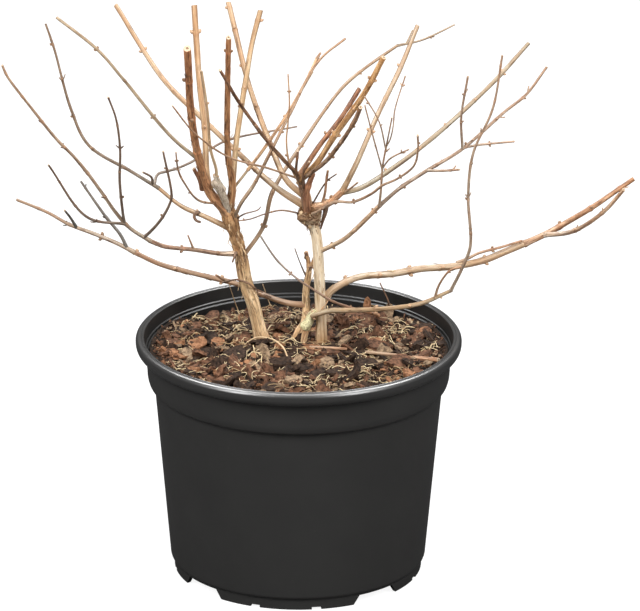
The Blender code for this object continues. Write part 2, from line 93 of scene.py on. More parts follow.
camera = bpy.data.objects.new("camera", bpy.data.cameras.new("camera"))
bpy.context.scene.collection.objects.link(camera)
bpy.context.scene.camera = camera
towards_camera = Vector((0.0, -math.cos(VIEW_ELEVATION), math.sin(VIEW_ELEVATION)))
camera.location = VIEW_TARGET + VIEW_DISTANCE * towards_camera
camera.rotation_mode = "QUATERNION"
roll = Quaternion((0.0, 0.0, 1.0), VIEW_ROLL)
camera.rotation_quaternion = (-towards_camera).to_track_quat("-Z", "Y") @ roll
camera.data.lens = camera.data.sensor_width * VIEW_DISTANCE / (IMAGE_WIDTH_PX * PIXEL_ON_PLANT)
camera.data.clip_start = 0.5
camera.data.clip_end = 60.0
print("lens:", round(camera.data.lens, 1), "mm")

# %% [markdown]
# ## Studio light and floor
#
# The pot's lip carries two soft highlights, one left and one right of its middle. Two large
# softboxes in front light the plant, a third hangs above, and a fourth behind lights its edges.
# Two more, behind on the left and right, only give the lip its shine. The world stays dim so that
# the canes keep a shaded side, and the camera sees it as white paper.

# %% Softboxes
SOFTBOX_DISTANCE = 2.1


def softbox(name, azimuth_deg, elevation_deg, width, height, watts):
    """A rectangular area light that looks at the plant. Azimuth 0 is the viewer's side."""
    azimuth = math.radians(azimuth_deg)
    elevation = math.radians(elevation_deg)
    level = math.cos(elevation)
    away = Vector((math.sin(azimuth) * level, -math.cos(azimuth) * level, math.sin(elevation)))
    lamp = bpy.data.lights.new(name, "AREA")
    lamp.shape = "RECTANGLE"
    lamp.size = width
    lamp.size_y = height
    lamp.energy = watts
    made = bpy.data.objects.new(name, lamp)
    made.location = VIEW_TARGET + SOFTBOX_DISTANCE * away
    made.rotation_mode = "QUATERNION"
    made.rotation_quaternion = (-away).to_track_quat("-Z", "Y")
    made.visible_camera = False
    bpy.context.scene.collection.objects.link(made)
    return made


softbox("softbox_left", -48.0, 38.0, 0.55, 1.1, 43.0)
softbox("softbox_right", 45.0, 38.0, 0.55, 1.1, 41.0)
softbox("softbox_top", 10.0, 82.0, 1.3, 1.3, 24.0)
softbox("softbox_back", 165.0, 55.0, 1.2, 0.8, 12.0).visible_glossy = False
# These two only shine: they give the lip its long highlights and don't brighten the bark
for name, azimuth_deg in (("shine_left", -128.0), ("shine_right", 128.0)):
    softbox(name, azimuth_deg, 60.0, 0.9, 0.9, 78.0).visible_diffuse = False
print("lights:", [item.name for item in bpy.data.objects if item.type == "LIGHT"])

# %% World and floor
WHITE = (1.0, 1.0, 1.0, 1.0)
AMBIENT = 0.24
REFLECTED_AMBIENT = 0.10
PAPER_BOUNCE = 0.22
PAPER_MIRRORED = 0.06
PAPER_GLOW = 0.90
FLOOR_RADIUS = 8.0
FLOOR_DROP = 0.2 * MM


def feed(tree, socket, value):
    """Link a node's input to a socket, or set it to a plain value."""
    if isinstance(value, bpy.types.NodeSocket):
        tree.links.new(value, socket)
    else:
        socket.default_value = value


def add_node(tree, kind, inputs=None, **settings):
    """A shader node of a kind, with its settings, and its inputs by name or number."""
    node = tree.nodes.new("ShaderNode" + kind)
    for name, value in settings.items():
        setattr(node, name, value)
    for name, value in (inputs or {}).items():
        feed(tree, node.inputs[name], value)
    return node


def emptied(block):
    """The node tree of a world or material, with nothing in it."""
    block.use_nodes = True
    block.node_tree.nodes.clear()
    return block.node_tree


def by_ray(tree, ray, otherwise, then):
    """One shader for a kind of ray, and another for the rest."""
    path = add_node(tree, "LightPath")
    return add_node(tree, "MixShader", {0: path.outputs[ray], 1: otherwise, 2: then}).outputs[0]


def mesh_of(work, name):
    """A bmesh as a mesh. The bmesh is used up."""
    mesh = bpy.data.meshes.new(name)
    work.to_mesh(mesh)
    work.free()
    return mesh


world = bpy.data.worlds.new("studio")
bpy.context.scene.world = world
tree = emptied(world)
shown, ambient, reflected = (
    add_node(tree, "Background", {"Color": WHITE, "Strength": strength}).outputs[0]
    for strength in (1.0, AMBIENT, REFLECTED_AMBIENT))
around = by_ray(tree, "Is Glossy Ray", ambient, reflected)
add_node(tree, "OutputWorld", {0: by_ray(tree, "Is Camera Ray", around, shown)})

paper = bpy.data.materials.new("white_paper")
tree = emptied(paper)
bounce, mirrored = (
    add_node(tree, "BsdfDiffuse", {"Color": (grey, grey, grey, 1.0)}).outputs[0]
    for grey in (PAPER_BOUNCE, PAPER_MIRRORED))
glow = add_node(tree, "Emission", {"Strength": PAPER_GLOW}).outputs[0]
lit = add_node(tree, "AddShader", {0: bounce, 1: glow}).outputs[0]
unseen = by_ray(tree, "Is Glossy Ray", bounce, mirrored)
add_node(tree, "OutputMaterial", {"Surface": by_ray(tree, "Is Camera Ray", unseen, lit)})

work = bmesh.new()
bmesh.ops.create_circle(work, cap_ends=True, segments=64, radius=FLOOR_RADIUS)
bmesh.ops.translate(work, verts=work.verts, vec=(0.0, 0.0, -FLOOR_DROP))
floor = bpy.data.objects.new("floor", mesh_of(work, "floor"))
floor.data.materials.append(paper)
bpy.context.scene.collection.objects.link(floor)
bpy.context.scene.view_settings.view_transform = "Standard"
print("floor radius:", FLOOR_RADIUS, "m")

# %% [markdown]
# ## Shader groups
#
# Bark is streaked along the limb. A limb bends, so its streaks can't come from plain object
# coordinates. Each limb's mesh carries an attribute named grain instead: where the point would
# be if the limb were pulled straight. Noise that is stretched along that attribute runs along
# the limb. The same group serves every bark, with its own fineness.

# %% Shader helpers
def new_group(name, inputs, outputs):
    """A shader node group with float inputs (name: value) and named float outputs."""
    group = bpy.data.node_groups.new(name, "ShaderNodeTree")
    kind = "NodeSocketFloat"
    for label, value in inputs.items():
        group.interface.new_socket(label, in_out="INPUT", socket_type=kind).default_value = value
    for label in outputs:
        group.interface.new_socket(label, in_out="OUTPUT", socket_type=kind)
    return group, group.nodes.new("NodeGroupInput").outputs, group.nodes.new("NodeGroupOutput").inputs


def noise_node(tree, vector, detail, roughness=0.6):
    """A noise texture in cells of the vector it is given."""
    inputs = {"Scale": 1.0, "Detail": detail, "Roughness": roughness, "Vector": vector}
    return add_node(tree, "TexNoise", inputs).outputs["Fac"]


def spread(tree, value, low, high):
    """A value from low to high, stretched to 0 to 1 and held there."""
    return add_node(tree, "MapRange", {"Value": value, "From Min": low, "From Max": high}).outputs["Result"]


def mixed(tree, factor, first, second, blend="MIX"):
    """A colour mix. Each of the three may be a socket or a plain value."""
    first, second = ((*value, 1.0) if isinstance(value, tuple) else value for value in (first, second))
    inputs = {0: factor, 6: first, 7: second}
    return add_node(tree, "Mix", inputs, data_type="RGBA", blend_type=blend).outputs[2]


def tinted(tree, factor, colour, tint):
    """A colour times a tint, as far as the factor says."""
    return mixed(tree, factor, colour, tint, "MULTIPLY")


def maths(tree, operation, first, second=0.0):
    """A maths node on a socket and a socket or number."""
    return add_node(tree, "Math", {0: first, 1: second}, operation=operation).outputs[0]


def scaled_vector(tree, vector, across, along):
    """The vector times (across, across, along)."""
    scale = add_node(tree, "CombineXYZ", {"X": across, "Y": across, "Z": along}).outputs[0]
    return add_node(tree, "VectorMath", {0: vector, 1: scale}, operation="MULTIPLY").outputs[0]


# %% Bark fibre group
fibre_group, fibre_in, fibre_out = new_group(
    "bark_fibres", {"Across": 700.0, "Along": 40.0}, ["Streak", "Patch", "Fleck", "Crack"])
pulled_straight = add_node(fibre_group, "Attribute", attribute_name="grain").outputs["Vector"]


def grain_noise(across, side, along, detail, roughness=0.6):
    """Noise on the grain, its fineness across and along as shares of the group's inputs."""
    fine_across = maths(fibre_group, "MULTIPLY", fibre_in["Across"], across)
    fine_along = maths(fibre_group, "MULTIPLY", fibre_in[side], along)
    stretched = scaled_vector(fibre_group, pulled_straight, fine_across, fine_along)
    return noise_node(fibre_group, stretched, detail, roughness)


split = maths(fibre_group, "SUBTRACT", grain_noise(0.62, "Along", 1.5, 2.0), 0.5)
# Each mask's noise, and the values of it that become 0 and 1
MASKS = {
    "Streak": (grain_noise(1.0, "Along", 1.0, 4.0, 0.62), 0.34, 0.66),
    "Patch": (grain_noise(0.30, "Along", 2.4, 2.0), 0.42, 0.62),
    "Fleck": (grain_noise(0.9, "Across", 0.45, 1.0), 0.66, 0.74),
    "Crack": (maths(fibre_group, "ABSOLUTE", split), 0.030, 0.006),
}
for label, (noise, low, high) in MASKS.items():
    feed(fibre_group, fibre_out[label], spread(fibre_group, noise, low, high))

# %% Speckle group
speckle_group, speckle_in, speckle_out = new_group(
    "speckle", {"Scale": 400.0, "From": 0.62, "To": 0.72}, ["Mask", "Cloud"])
place = add_node(speckle_group, "TexCoord").outputs["Object"]
spots = scaled_vector(speckle_group, place, speckle_in["Scale"], speckle_in["Scale"])
spot = noise_node(speckle_group, spots, 2.0)
feed(speckle_group, speckle_out["Mask"], spread(speckle_group, spot, speckle_in["From"], speckle_in["To"]))
feed(speckle_group, speckle_out["Cloud"], spot)
print("groups:", [group.name for group in bpy.data.node_groups])

# %% [markdown]
# ## Barks
#
# Young canes are smooth and orange-tan, older ones brown and rough, and the stems pale and
# fibrous. One recipe makes them all: a dark, a middle and a light colour from the streaks, and
# stained patches. The mesh's own attributes then tint it: painted shade in its furrows, the nodes
# and burls, the worn or dirty foot, and the way to the tip. A tint multiplies, so the streaks stay.

# %% Bark materials
NO_TINT = (1.0, 1.0, 1.0)
Bark = namedtuple("Bark", "light mid dark patch furrow knot foot tip across along roughness relief")

# Each bark's fifth colour is painted shade, which the low parts of its relief are darkened towards
BARKS = {
    "stem_bark": Bark((0.90, 0.70, 0.47), (0.62, 0.42, 0.24), (0.17, 0.10, 0.055), (0.44, 0.26, 0.13),
        (0.20, 0.14, 0.10), (0.52, 0.40, 0.32), (0.62, 0.42, 0.28), (0.9, 0.8, 0.7), 620, 30, 0.85, 0.60),
    "stem_cream": Bark((0.98, 0.90, 0.72), (0.90, 0.75, 0.53), (0.54, 0.37, 0.22), (0.86, 0.68, 0.46),
        (0.62, 0.50, 0.38), (0.22, 0.15, 0.105), (0.42, 0.27, 0.15), (1.0, 1.0, 1.0), 560, 22, 0.8, 0.36),
    "bark_pale": Bark((0.76, 0.575, 0.395), (0.56, 0.36, 0.20), (0.24, 0.125, 0.07), (0.54, 0.30, 0.15),
        (0.42, 0.33, 0.27), (0.95, 0.88, 0.84), (0.9, 0.75, 0.6), (0.98, 0.9, 0.84), 620, 20, 0.6, 0.25),
    "bark_orange": Bark((0.78, 0.52, 0.30), (0.50, 0.28, 0.13), (0.17, 0.08, 0.04), (0.36, 0.17, 0.07),
        (0.28, 0.20, 0.15), (0.95, 0.85, 0.8), (0.6, 0.5, 0.4), (1.1, 0.95, 0.8), 560, 32, 0.66, 0.50),
    "bark_brown": Bark((0.52, 0.29, 0.17), (0.28, 0.13, 0.07), (0.085, 0.04, 0.025), (0.40, 0.22, 0.12),
        (0.28, 0.22, 0.18), (1.5, 1.4, 1.35), (2.0, 2.4, 2.6), (1.05, 0.95, 0.9), 560, 36, 0.7, 0.55),
    "bark_dark": Bark((0.38, 0.27, 0.19), (0.19, 0.125, 0.085), (0.065, 0.04, 0.028), (0.30, 0.17, 0.09),
        (0.28, 0.22, 0.18), (1.3, 1.2, 1.1), (0.8, 0.7, 0.6), (1.2, 1.0, 0.9), 600, 60, 0.75, 0.6),
    "bark_twig": Bark((0.56, 0.42, 0.29), (0.38, 0.255, 0.165), (0.13, 0.08, 0.05), (0.33, 0.19, 0.11),
        (0.45, 0.38, 0.32), (1.2, 1.1, 1.05), (0.8, 0.7, 0.6), (1.1, 0.9, 0.78), 700, 50, 0.66, 0.35),
    "bark_olive": Bark((0.58, 0.45, 0.29), (0.42, 0.30, 0.18), (0.15, 0.10, 0.06), (0.40, 0.26, 0.15),
        (0.45, 0.38, 0.32), (0.8, 0.75, 0.7), (0.8, 0.7, 0.6), (1.1, 1.0, 0.95), 650, 30, 0.66, 0.35),
    "bark_shoot": Bark((0.50, 0.30, 0.18), (0.36, 0.18, 0.09), (0.14, 0.07, 0.04), (0.40, 0.20, 0.10),
        (0.5, 0.4, 0.34), (1.1, 1.1, 1.1), NO_TINT, (0.62, 1.05, 1.75), 700, 40, 0.6, 0.3),
    "grey_bark": Bark((0.66, 0.58, 0.46), (0.50, 0.42, 0.33), (0.20, 0.15, 0.11), (0.56, 0.46, 0.34),
        (0.35, 0.30, 0.26), (0.8, 0.8, 0.8), (0.7, 0.6, 0.5), NO_TINT, 560, 120, 0.9, 0.6),
    "lichen_bark": Bark((0.86, 0.82, 0.52), (0.66, 0.60, 0.33), (0.24, 0.19, 0.11), (0.74, 0.70, 0.44),
        (0.4, 0.35, 0.3), (0.9, 0.9, 0.8), NO_TINT, NO_TINT, 560, 380, 0.9, 0.7),
}
# Which streaks are dark and which light, and how low on the relief the painted shade of a furrow begins and
# is full
DARK_STREAKS = (0.0, 0.42)
LIGHT_STREAKS = (0.48, 1.0)
FURROW_SHADE_DEPTH = (0.52, 0.18)
PATCH_SHARE = 0.6
FLECK_SHARE = 0.8
CRACK_SHARE = 1.25


def attribute(tree, name, output="Fac"):
    """The value of a point attribute."""
    return add_node(tree, "Attribute", attribute_name=name).outputs[output]


def grouped(tree, group, **values):
    """The outputs of a group node with plain numbers on its inputs."""
    return add_node(tree, "Group", values, node_tree=group).outputs


def bump(tree, height, strength, distance):
    """A normal from a height, for the shader's Normal socket."""
    inputs = {"Strength": strength, "Distance": distance, "Height": height}
    return add_node(tree, "Bump", inputs).outputs["Normal"]


def add_material(name, roughness, specular=0.3):
    """A new material's tree and the inputs of its Principled shader."""
    made = bpy.data.materials.new(name)
    made.use_nodes = True
    shader = made.node_tree.nodes["Principled BSDF"].inputs
    shader["Roughness"].default_value = roughness
    shader["Specular IOR Level"].default_value = specular
    MATERIALS[name] = made
    return made.node_tree, shader


def bark_material(name, bark):
    """Streaked bark from the fibre group and the limb's own attributes."""
    tree, shader = add_material(name, bark.roughness)
    fibres = grouped(tree, fibre_group, Across=bark.across, Along=bark.along)
    streak = fibres["Streak"]
    lower = mixed(tree, spread(tree, streak, *DARK_STREAKS), bark.dark, bark.mid)
    colour = mixed(tree, spread(tree, streak, *LIGHT_STREAKS), lower, bark.light)
    masks = [
        ("Patch", PATCH_SHARE, bark.patch),
        ("Fleck", FLECK_SHARE * bark.relief, bark.dark),
        ("Crack", CRACK_SHARE * bark.relief, bark.dark),
    ]
    for mask, share, stain in masks:
        colour = mixed(tree, maths(tree, "MULTIPLY", fibres[mask], share), colour, stain)
    # Painted shade: where the relief is low, the colour is multiplied towards the bark's furrow shade colour
    colour = tinted(tree, spread(tree, attribute(tree, "ridge"), *FURROW_SHADE_DEPTH), colour, bark.furrow)
    for label, tint in (("knot", bark.knot), ("stain", bark.foot), ("reach", bark.tip)):
        colour = tinted(tree, attribute(tree, label), colour, tint)
    colour = tinted(tree, 1.0, colour, attribute(tree, "tone", "Color"))
    feed(tree, shader["Base Color"], colour)
    feed(tree, shader["Normal"], bump(tree, streak, bark.relief, 0.5 * MM))


MATERIALS = {}
for name, bark in BARKS.items():
    bark_material(name, bark)
print("barks:", len(MATERIALS))

# %% Cut wood and pith
def plain_material(name, first, second, scale, roughness, relief=0.0, specular=0.3):
    """Two colours clouded into each other on object coordinates."""
    tree, shader = add_material(name, roughness, specular)
    cloud = grouped(tree, speckle_group, Scale=scale, From=0.35, To=0.65)
    feed(tree, shader["Base Color"], mixed(tree, cloud["Mask"], first, second))
    if relief:
        feed(tree, shader["Normal"], bump(tree, cloud["Cloud"], relief, 0.6 * MM))


plain_material("cut_wood", (0.42, 0.30, 0.20), (0.64, 0.50, 0.35), 1400, 0.8, 0.3)
plain_material("pith", (0.20, 0.12, 0.07), (0.36, 0.24, 0.15), 900, 0.9)
LIMB_MATERIALS = ("cut_wood", "pith")

# %% [markdown]
# ## Routes
#
# The source of the solids draws each limb as a smooth curve through a few points, and starts it
# where it is clear of the wood that carries it. The same rule is written here again, so a
# dressed limb lies on its solid. Here it may start inside its parent, as real wood does.

# %% Route rules
GAP = 0.3
RING_STEP = 13.0
SEARCH_STEP = 0.4
NODE_SPACING = 27.0
MIX_TOP = 157.0
MIX_FLAT_RADIUS = 62.0
HEAP_HEIGHT = 8.0
END_POINTS = 12
SHAPES = {}


def between(a, b, low, high, t):
    """The point at t on the line that is at a when t is low and at b when t is high."""
    return a + (b - a) * (t - low) / (high - low)


def smooth_route(points):
    """A centripetal Catmull-Rom curve through the points, sampled every SEARCH_STEP."""
    points = np.array(points, dtype=float)
    guide = np.vstack([2 * points[0] - points[1], points, 2 * points[-1] - points[-2]])
    samples = []
    for p0, p1, p2, p3 in zip(guide, guide[1:], guide[2:], guide[3:]):
        k1 = math.sqrt(np.linalg.norm(p1 - p0))
        k2 = k1 + math.sqrt(np.linalg.norm(p2 - p1))
        k3 = k2 + math.sqrt(np.linalg.norm(p3 - p2))
        count = max(2, math.ceil(np.linalg.norm(p2 - p1) / SEARCH_STEP))
        t = np.linspace(k1, k2, count, endpoint=False)[:, None]
        a1 = between(p0, p1, 0.0, k1, t)
        a2 = between(p1, p2, k1, k2, t)
        a3 = between(p2, p3, k2, k3, t)
        b1 = between(a1, a2, 0.0, k2, t)
        b2 = between(a2, a3, k1, k3, t)
        samples.append(between(b1, b2, k1, k2, t))
    return np.vstack([*samples, points[-1:]])


def lengths_along(route):
    """Distance from the route's start to each of its points."""
    return np.concatenate([[0.0], np.cumsum(np.linalg.norm(np.diff(route, axis=0), axis=1))])


def places_at(route, distances):
    """The points at these distances along the route."""
    along = lengths_along(route)
    return np.stack([np.interp(distances, along, route[:, axis]) for axis in range(3)], axis=-1)


def place_on(route, share):
    """The point at a share of the route's length."""
    return places_at(route, share * lengths_along(route)[-1])


def headings(route):
    """Unit direction of the route at each of its points."""
    slopes = np.gradient(route, axis=0)
    return slopes / np.linalg.norm(slopes, axis=1)[:, None]


def across(heading):
    """Two unit vectors square to a heading and to each other."""
    first = np.array(Vector(heading).orthogonal().normalized())
    return first, np.cross(heading, first)


def surface_distance(points, shape):
    """Distance from each point to a chain of flat-ended cones, negative inside them."""
    centres, radii = shape
    along = np.diff(centres, axis=0)
    length = np.linalg.norm(along, axis=1)
    heading = along / length[:, None]
    offset = points[:, None, :] - centres[None, :-1]
    run = np.einsum("psk,sk->ps", offset, heading)
    off_axis = np.linalg.norm(offset - run[..., None] * heading, axis=2)
    held_run = np.clip(run, 0.0, length)
    side = off_axis - (radii[:-1] + (radii[1:] - radii[:-1]) * held_run / length)
    beyond = np.abs(run - held_run)
    return np.where(beyond > 0.0, np.hypot(beyond, np.maximum(side, 0.0)), side).min(axis=1)


def nearest_limb(points, ignore=()):
    """Distance from the points to the closest limb made so far."""
    others = [shape for name, shape in SHAPES.items() if name not in ignore]
    return min((surface_distance(points, shape).min() for shape in others), default=math.inf)


def cut_end(centre, heading, radius):
    """Points round the edge of a flat cut end, and its centre."""
    first, second = across(heading)
    turns = np.linspace(0.0, 2 * math.pi, END_POINTS, endpoint=False)
    edge = [centre + radius * (math.cos(turn) * first + math.sin(turn) * second) for turn in turns]
    return np.array(edge + [centre])


def seated(route, radius):
    """The route from the first place where its cut end clears everything made so far."""
    ends = np.array([cut_end(point, heading, radius) for point, heading in zip(route, headings(route))])
    gaps = [surface_distance(ends.reshape(-1, 3), shape).reshape(len(ends), -1) for shape in SHAPES.values()]
    clear = np.hstack(gaps).min(axis=1) >= GAP
    return route[int(np.argmax(clear)):]


def taper(route, thick, thin):
    """Ring centres about RING_STEP apart along the route, and their radii."""
    count = max(3, math.ceil(lengths_along(route)[-1] / RING_STEP) + 1)
    shares = np.linspace(0.0, 1.0, count)
    return place_on(route, shares), (thick + (thin - thick) * shares) / 2


# %% [markdown]
# ## The limbs of the plant
#
# These are the driving sizes, in millimetres, as the source has them. A stem stands on the mix.
# Any other limb leaves its parent at a share of the parent's length and passes through a few
# points. A limb's finish says which bark it gets.

# %% Stems
Stem = namedtuple("Stem", "name thick thin flare head foot route")

STEMS = [
    Stem("stem_left", 9.6, 7.8, 1.2, 1.5, (-26, 30),
         [(-28, 30, 166), (-32, 29, 184), (-38, 28, 204), (-41, 27, 222), (-46, 25, 243), (-50, 23, 257)]),
    Stem("stem_right", 7.3, 7.9, 1.2, 2.1, (16, 28),
         [(16, 28, 168), (15, 26, 190), (14, 23, 214), (12, 19, 241), (6, 16, 263)]),
    Stem("stem_back", 5.4, 3.4, 1.9, 0.8, (-1, 29),
         [(1, 30, 164), (5, 33, 174), (5, 36, 193), (7, 37, 210), (5, 38, 221)]),
]

# %% Boughs and canes
Limb = namedtuple("Limb", "name parent leaves_at thick thin finish route")

BOUGHS = [
    Limb("bough_neck", "stem_right", 1.0, 5.6, 4.6, "dark", [(3, 11, 277), (0, 6, 290)]),
    Limb("bough_shoulder", "stem_right", 1.0, 4.8, 4.2, "dark", [(20, 8, 269), (31, 2, 281)]),
    Limb("bough_upper_left", "stem_left", 0.85, 3.3, 2.8, "pale",
         [(-66, 26, 252), (-83, 30, 258.5), (-99, 35, 270)]),
    Limb("bough_left", "stem_left", 0.67, 3.3, 2.9, "brown",
         [(-54, 19, 227), (-74, 8, 234), (-95, -4, 241), (-104, -10, 247)]),
    Limb("bough_low_left", "stem_back", 0.41, 4.2, 3.3, "pale",
         [(-10, 44, 181), (-27, 50, 185), (-41, 54, 190), (-74, 62, 195.6), (-99, 68, 200.5),
          (-117, 72, 207.7)]),
    Limb("bough_right", "stem_right", 0.66, 3.3, 3.0, "twig",
         [(30.4, 8, 241.6), (38.4, 0, 251.6), (56, -18, 277)]),
    Limb("bough_long_right", "stem_right", 0.29, 4.9, 4.9, "pale",
         [(25, 30, 197), (41, 36, 203), (66, 44, 203), (86, 50, 204.6), (109, 57.5, 203.6),
          (130, 64, 205.6), (145, 70, 209.7), (160, 75, 214.5)]),
    Limb("bough_low_right", "stem_back", 0.33, 3.9, 2.6, "pale",
         [(8, 25, 178), (13, 18, 182), (22, 12, 187), (35, 0, 192), (61, -20, 201), (85, -36, 211),
          (106, -50, 226)]),
]

CANES = [
    Limb("cane_dark_upright", "stem_left", 1.0, 5.6, 5.1, "brown",
         [(-63, 15, 275), (-70, 4, 302), (-75, -12, 339), (-77.4, -45, 402)]),
    Limb("cane_brown_upright", "stem_left", 1.0, 4.6, 3.5, "brown",
         [(-47, 18, 277), (-50, 8, 306), (-50, -12, 360), (-49, -30, 405)]),
    Limb("cane_pale_tall", "cane_dark_upright", 0.12, 4.3, 4.2, "pale",
         [(-65, 19, 287), (-66.2, 26, 315), (-70.4, 34, 351), (-74, 44, 403)]),
    Limb("cane_pale_upright", "cane_brown_upright", 0.08, 4.0, 3.8, "pale",
         [(-46, 27, 288), (-44, 36, 308), (-38, 54, 344), (-34, 70, 365), (-28, 86, 385)]),
    Limb("cane_slim_upright", "cane_dark_upright", 0.13, 2.1, 1.8, "pale",
         [(-58, 9, 290), (-62, 0, 312), (-64, -14, 345), (-68, -26, 379)]),
    Limb("cane_olive_left", "cane_dark_upright", 0.32, 2.6, 2.0, "twig",
         [(-90, -6, 324), (-123, -22, 372.3), (-140, -31, 396.2), (-167.6, -40, 422.6)]),
    Limb("cane_wiry_left", "cane_dark_upright", 0.05, 1.6, 1.1, "twig",
         [(-69, 6, 271), (-80, -30, 298), (-83.8, -48, 314), (-85, -70, 335)]),
    Limb("cane_leaning_right", "stem_left", 0.9, 2.8, 1.6, "twig",
         [(-41, 15, 266), (-32, 12, 281), (-22, 6, 304), (-6.5, 12, 334.7), (13.6, 24, 369.6),
          (32, 30, 384)]),
    Limb("cane_slim_leaning", "cane_brown_upright", 0.08, 1.8, 1.5, "pale",
         [(-36, 16, 291), (-24, 16, 308), (-7, 28, 331), (9, 42, 355)]),
    Limb("cane_arching_right", "stem_left", 0.63, 3.2, 2.0, "pale",
         [(-25.3, 38, 240.5), (-19.3, 46, 262.6), (1, 70, 290), (30, 100, 322.6), (45.3, 112.5, 332.4),
          (69, 130, 344)]),
    Limb("cane_long_left", "stem_right", 1.0, 3.9, 3.3, "pale",
         [(-16, 26, 274), (-42, 42, 293), (-71, 62, 315), (-96.6, 88, 332.6), (-131, 128, 374)]),
    Limb("cane_pale_crossing", "bough_neck", 0.32, 3.8, 3.6, "pale",
         [(-9, 20, 282), (-22, 42, 305), (-36, 74, 334), (-51, 126, 377)]),
    Limb("cane_dark_crossing", "bough_neck", 1.0, 3.0, 2.1, "dark",
         [(-18, -20, 320), (-40, -72, 370), (-54, -118, 412)]),
    Limb("cane_wiry_crossing", "bough_neck", 0.9, 1.5, 1.1, "twig",
         [(-21, -6, 300), (-48, -28, 316), (-71, -62, 345), (-87, -98, 379)]),
    Limb("cane_orange_right", "bough_neck", 0.9, 4.2, 3.9, "orange",
         [(11, -2, 301), (25, -16, 329), (44, -36, 365), (58, -56, 400)]),
    Limb("cane_red_right", "bough_neck", 1.0, 3.5, 3.2, "brown",
         [(13, 18, 307), (28, 34, 322), (42, 54, 338)]),
    Limb("cane_dark_right", "bough_neck", 0.87, 3.0, 2.9, "dark",
         [(16, -14, 306), (29, -62, 340), (38, -99, 368.6), (42, -122, 387)]),
    Limb("cane_pale_far_right", "bough_shoulder", 0.9, 3.5, 2.7, "pale",
         [(43, 10, 280), (71, 30, 291.6), (93, 50.5, 302.4), (115.3, 72, 315.4), (139, 94, 331.7),
          (162, 116, 351)]),
    Limb("cane_pale_right", "bough_shoulder", 0.94, 3.8, 3.0, "pale",
         [(39.7, 8, 298.4), (55, 38, 325), (71, 72, 348), (83, 106, 367)]),
    Limb("cane_wiry_right", "stem_right", 0.94, 2.2, 1.3, "twig",
         [(12, 4, 264), (25, -8, 276), (37, -23, 281.6), (50.3, -42, 294.8), (57.8, -53, 305),
          (67.5, -65.4, 314.3), (79, -90, 333), (81.5, -114, 355), (81, -128, 369)]),
]

SHOOT = Limb("shoot_red", None, 0.0, 2.5, 1.2, "brown",
             [(57, 74, 157.6), (56.3, 72.8, 160.4), (50.5, 62, 166.6), (41.5, 44, 175.4), (32.6, 28, 184.5),
              (21.9, 12, 195.1), (11.3, 6, 204.5), (-0.8, 0, 215.2), (-15, -3, 230), (-27, -10, 251)])

# %% Twig masses
Mass = namedtuple("Mass", "name bough thick thin seed route twigs")

MASSES = [
    Mass("twigs_low_left", "bough_low_left", 3.2, 2.0, 3,
         [(-129, 78.3, 211.9), (-146, 86.4, 216.3), (-164, 94.4, 220.4), (-180, 102, 226.8),
          (-202, 110, 233.3)],
         [(0.06, [(-127, 79, 218), (-138, 88, 229), (-156, 106, 249)]),
          (0.49, [(-163, 88, 228), (-167, 84, 235)])]),
    Mass("twigs_left", "bough_left", 2.8, 1.7, 5,
         [(-118, -19, 260), (-128.2, -25.4, 274.6), (-137.2, -31.4, 290.8), (-146.4, -37.3, 306.7),
          (-156.5, -43.2, 322), (-167.6, -49.3, 336.3), (-184.2, -59.4, 362.3), (-200.7, -73, 391),
          (-204, -76, 400)],
         [(0.03, [(-103, -18, 258), (-96, -26, 269.5), (-90.5, -34, 282.5), (-88.6, -40, 292),
                  (-94, -60, 332)]),
          (0.14, [(-123, -28, 276), (-124.5, -44, 304), (-123.7, -62, 334), (-126, -80, 363),
                  (-131, -92, 383)]),
          (0.13, [(-147.2, -44, 277.3), (-173, -72, 326)])]),
    Mass("twigs_upper_left", "bough_upper_left", 2.6, 1.5, 8,
         [(-108.5, 37, 275.3), (-119, 40, 281), (-148.7, 50, 296.6), (-161, 56, 321), (-173, 66, 363),
          (-179, 70, 380)],
         [(0.03, [(-104, 30, 280), (-110, 24, 286)]),
          (0.02, [(-100, 44, 277), (-93.4, 50, 277.2), (-85.9, 60, 276.1), (-74.1, 74, 277.1),
                  (-54, 82, 288), (-2, 112, 289)])]),
    Mass("twigs_arching_right", "cane_arching_right", 1.8, 1.1, 11,
         [(87, 140, 345), (110, 150, 353)],
         [(0.15, [(80, 138, 353)])]),
    Mass("twigs_right_upright", "bough_right", 1.8, 1.2, 14,
         [(57, -26, 292), (58, -34, 312), (61, -44, 334)],
         [(0.88, [(55, -58, 354), (45, -72, 377)]), (0.94, [(64, -56, 356)]),
          (0.92, [(63.1, -46, 336.7), (64.9, -49, 346.6), (66, -52, 360), (73, -60, 388)]),
          (0.56, [(52, -52, 337), (45, -78, 373)]), (0.58, [(63, -40, 320), (76, -54, 332)])]),
    Mass("twigs_right", "bough_right", 2.9, 1.8, 17,
         [(70.6, -26, 293.5), (87.4, -30, 306.8), (112.4, -34, 324.6), (142.4, -36, 353.6),
          (157, -38, 367), (171, -40, 388)],
         [(0.27, [(99, -42, 312), (111, -56, 318)]), (0.46, [(112, -48, 353), (116, -66, 390)]),
          (0.47, [(125, -22, 324), (150, 2, 318)])]),
    Mass("twigs_long_right", "bough_long_right", 4.7, 3.3, 20,
         [(177, 81, 220.8), (193, 87, 228.2), (209, 91.5, 236.8), (223, 96.6, 245.2), (238, 104, 253.5)],
         [(0.16, [(194, 70, 226), (215, 58, 245), (229, 50, 265)])]),
    Mass("twigs_low_right", "bough_low_right", 2.4, 1.4, 23,
         [(114, -58, 247), (119, -64, 265), (117, -70, 304), (120, -78, 338), (133, -84, 373),
          (139, -88, 413)],
         []),
]
print("limbs:", len(STEMS) + len(BOUGHS) + len(CANES) + 1, "and masses:", len(MASSES))

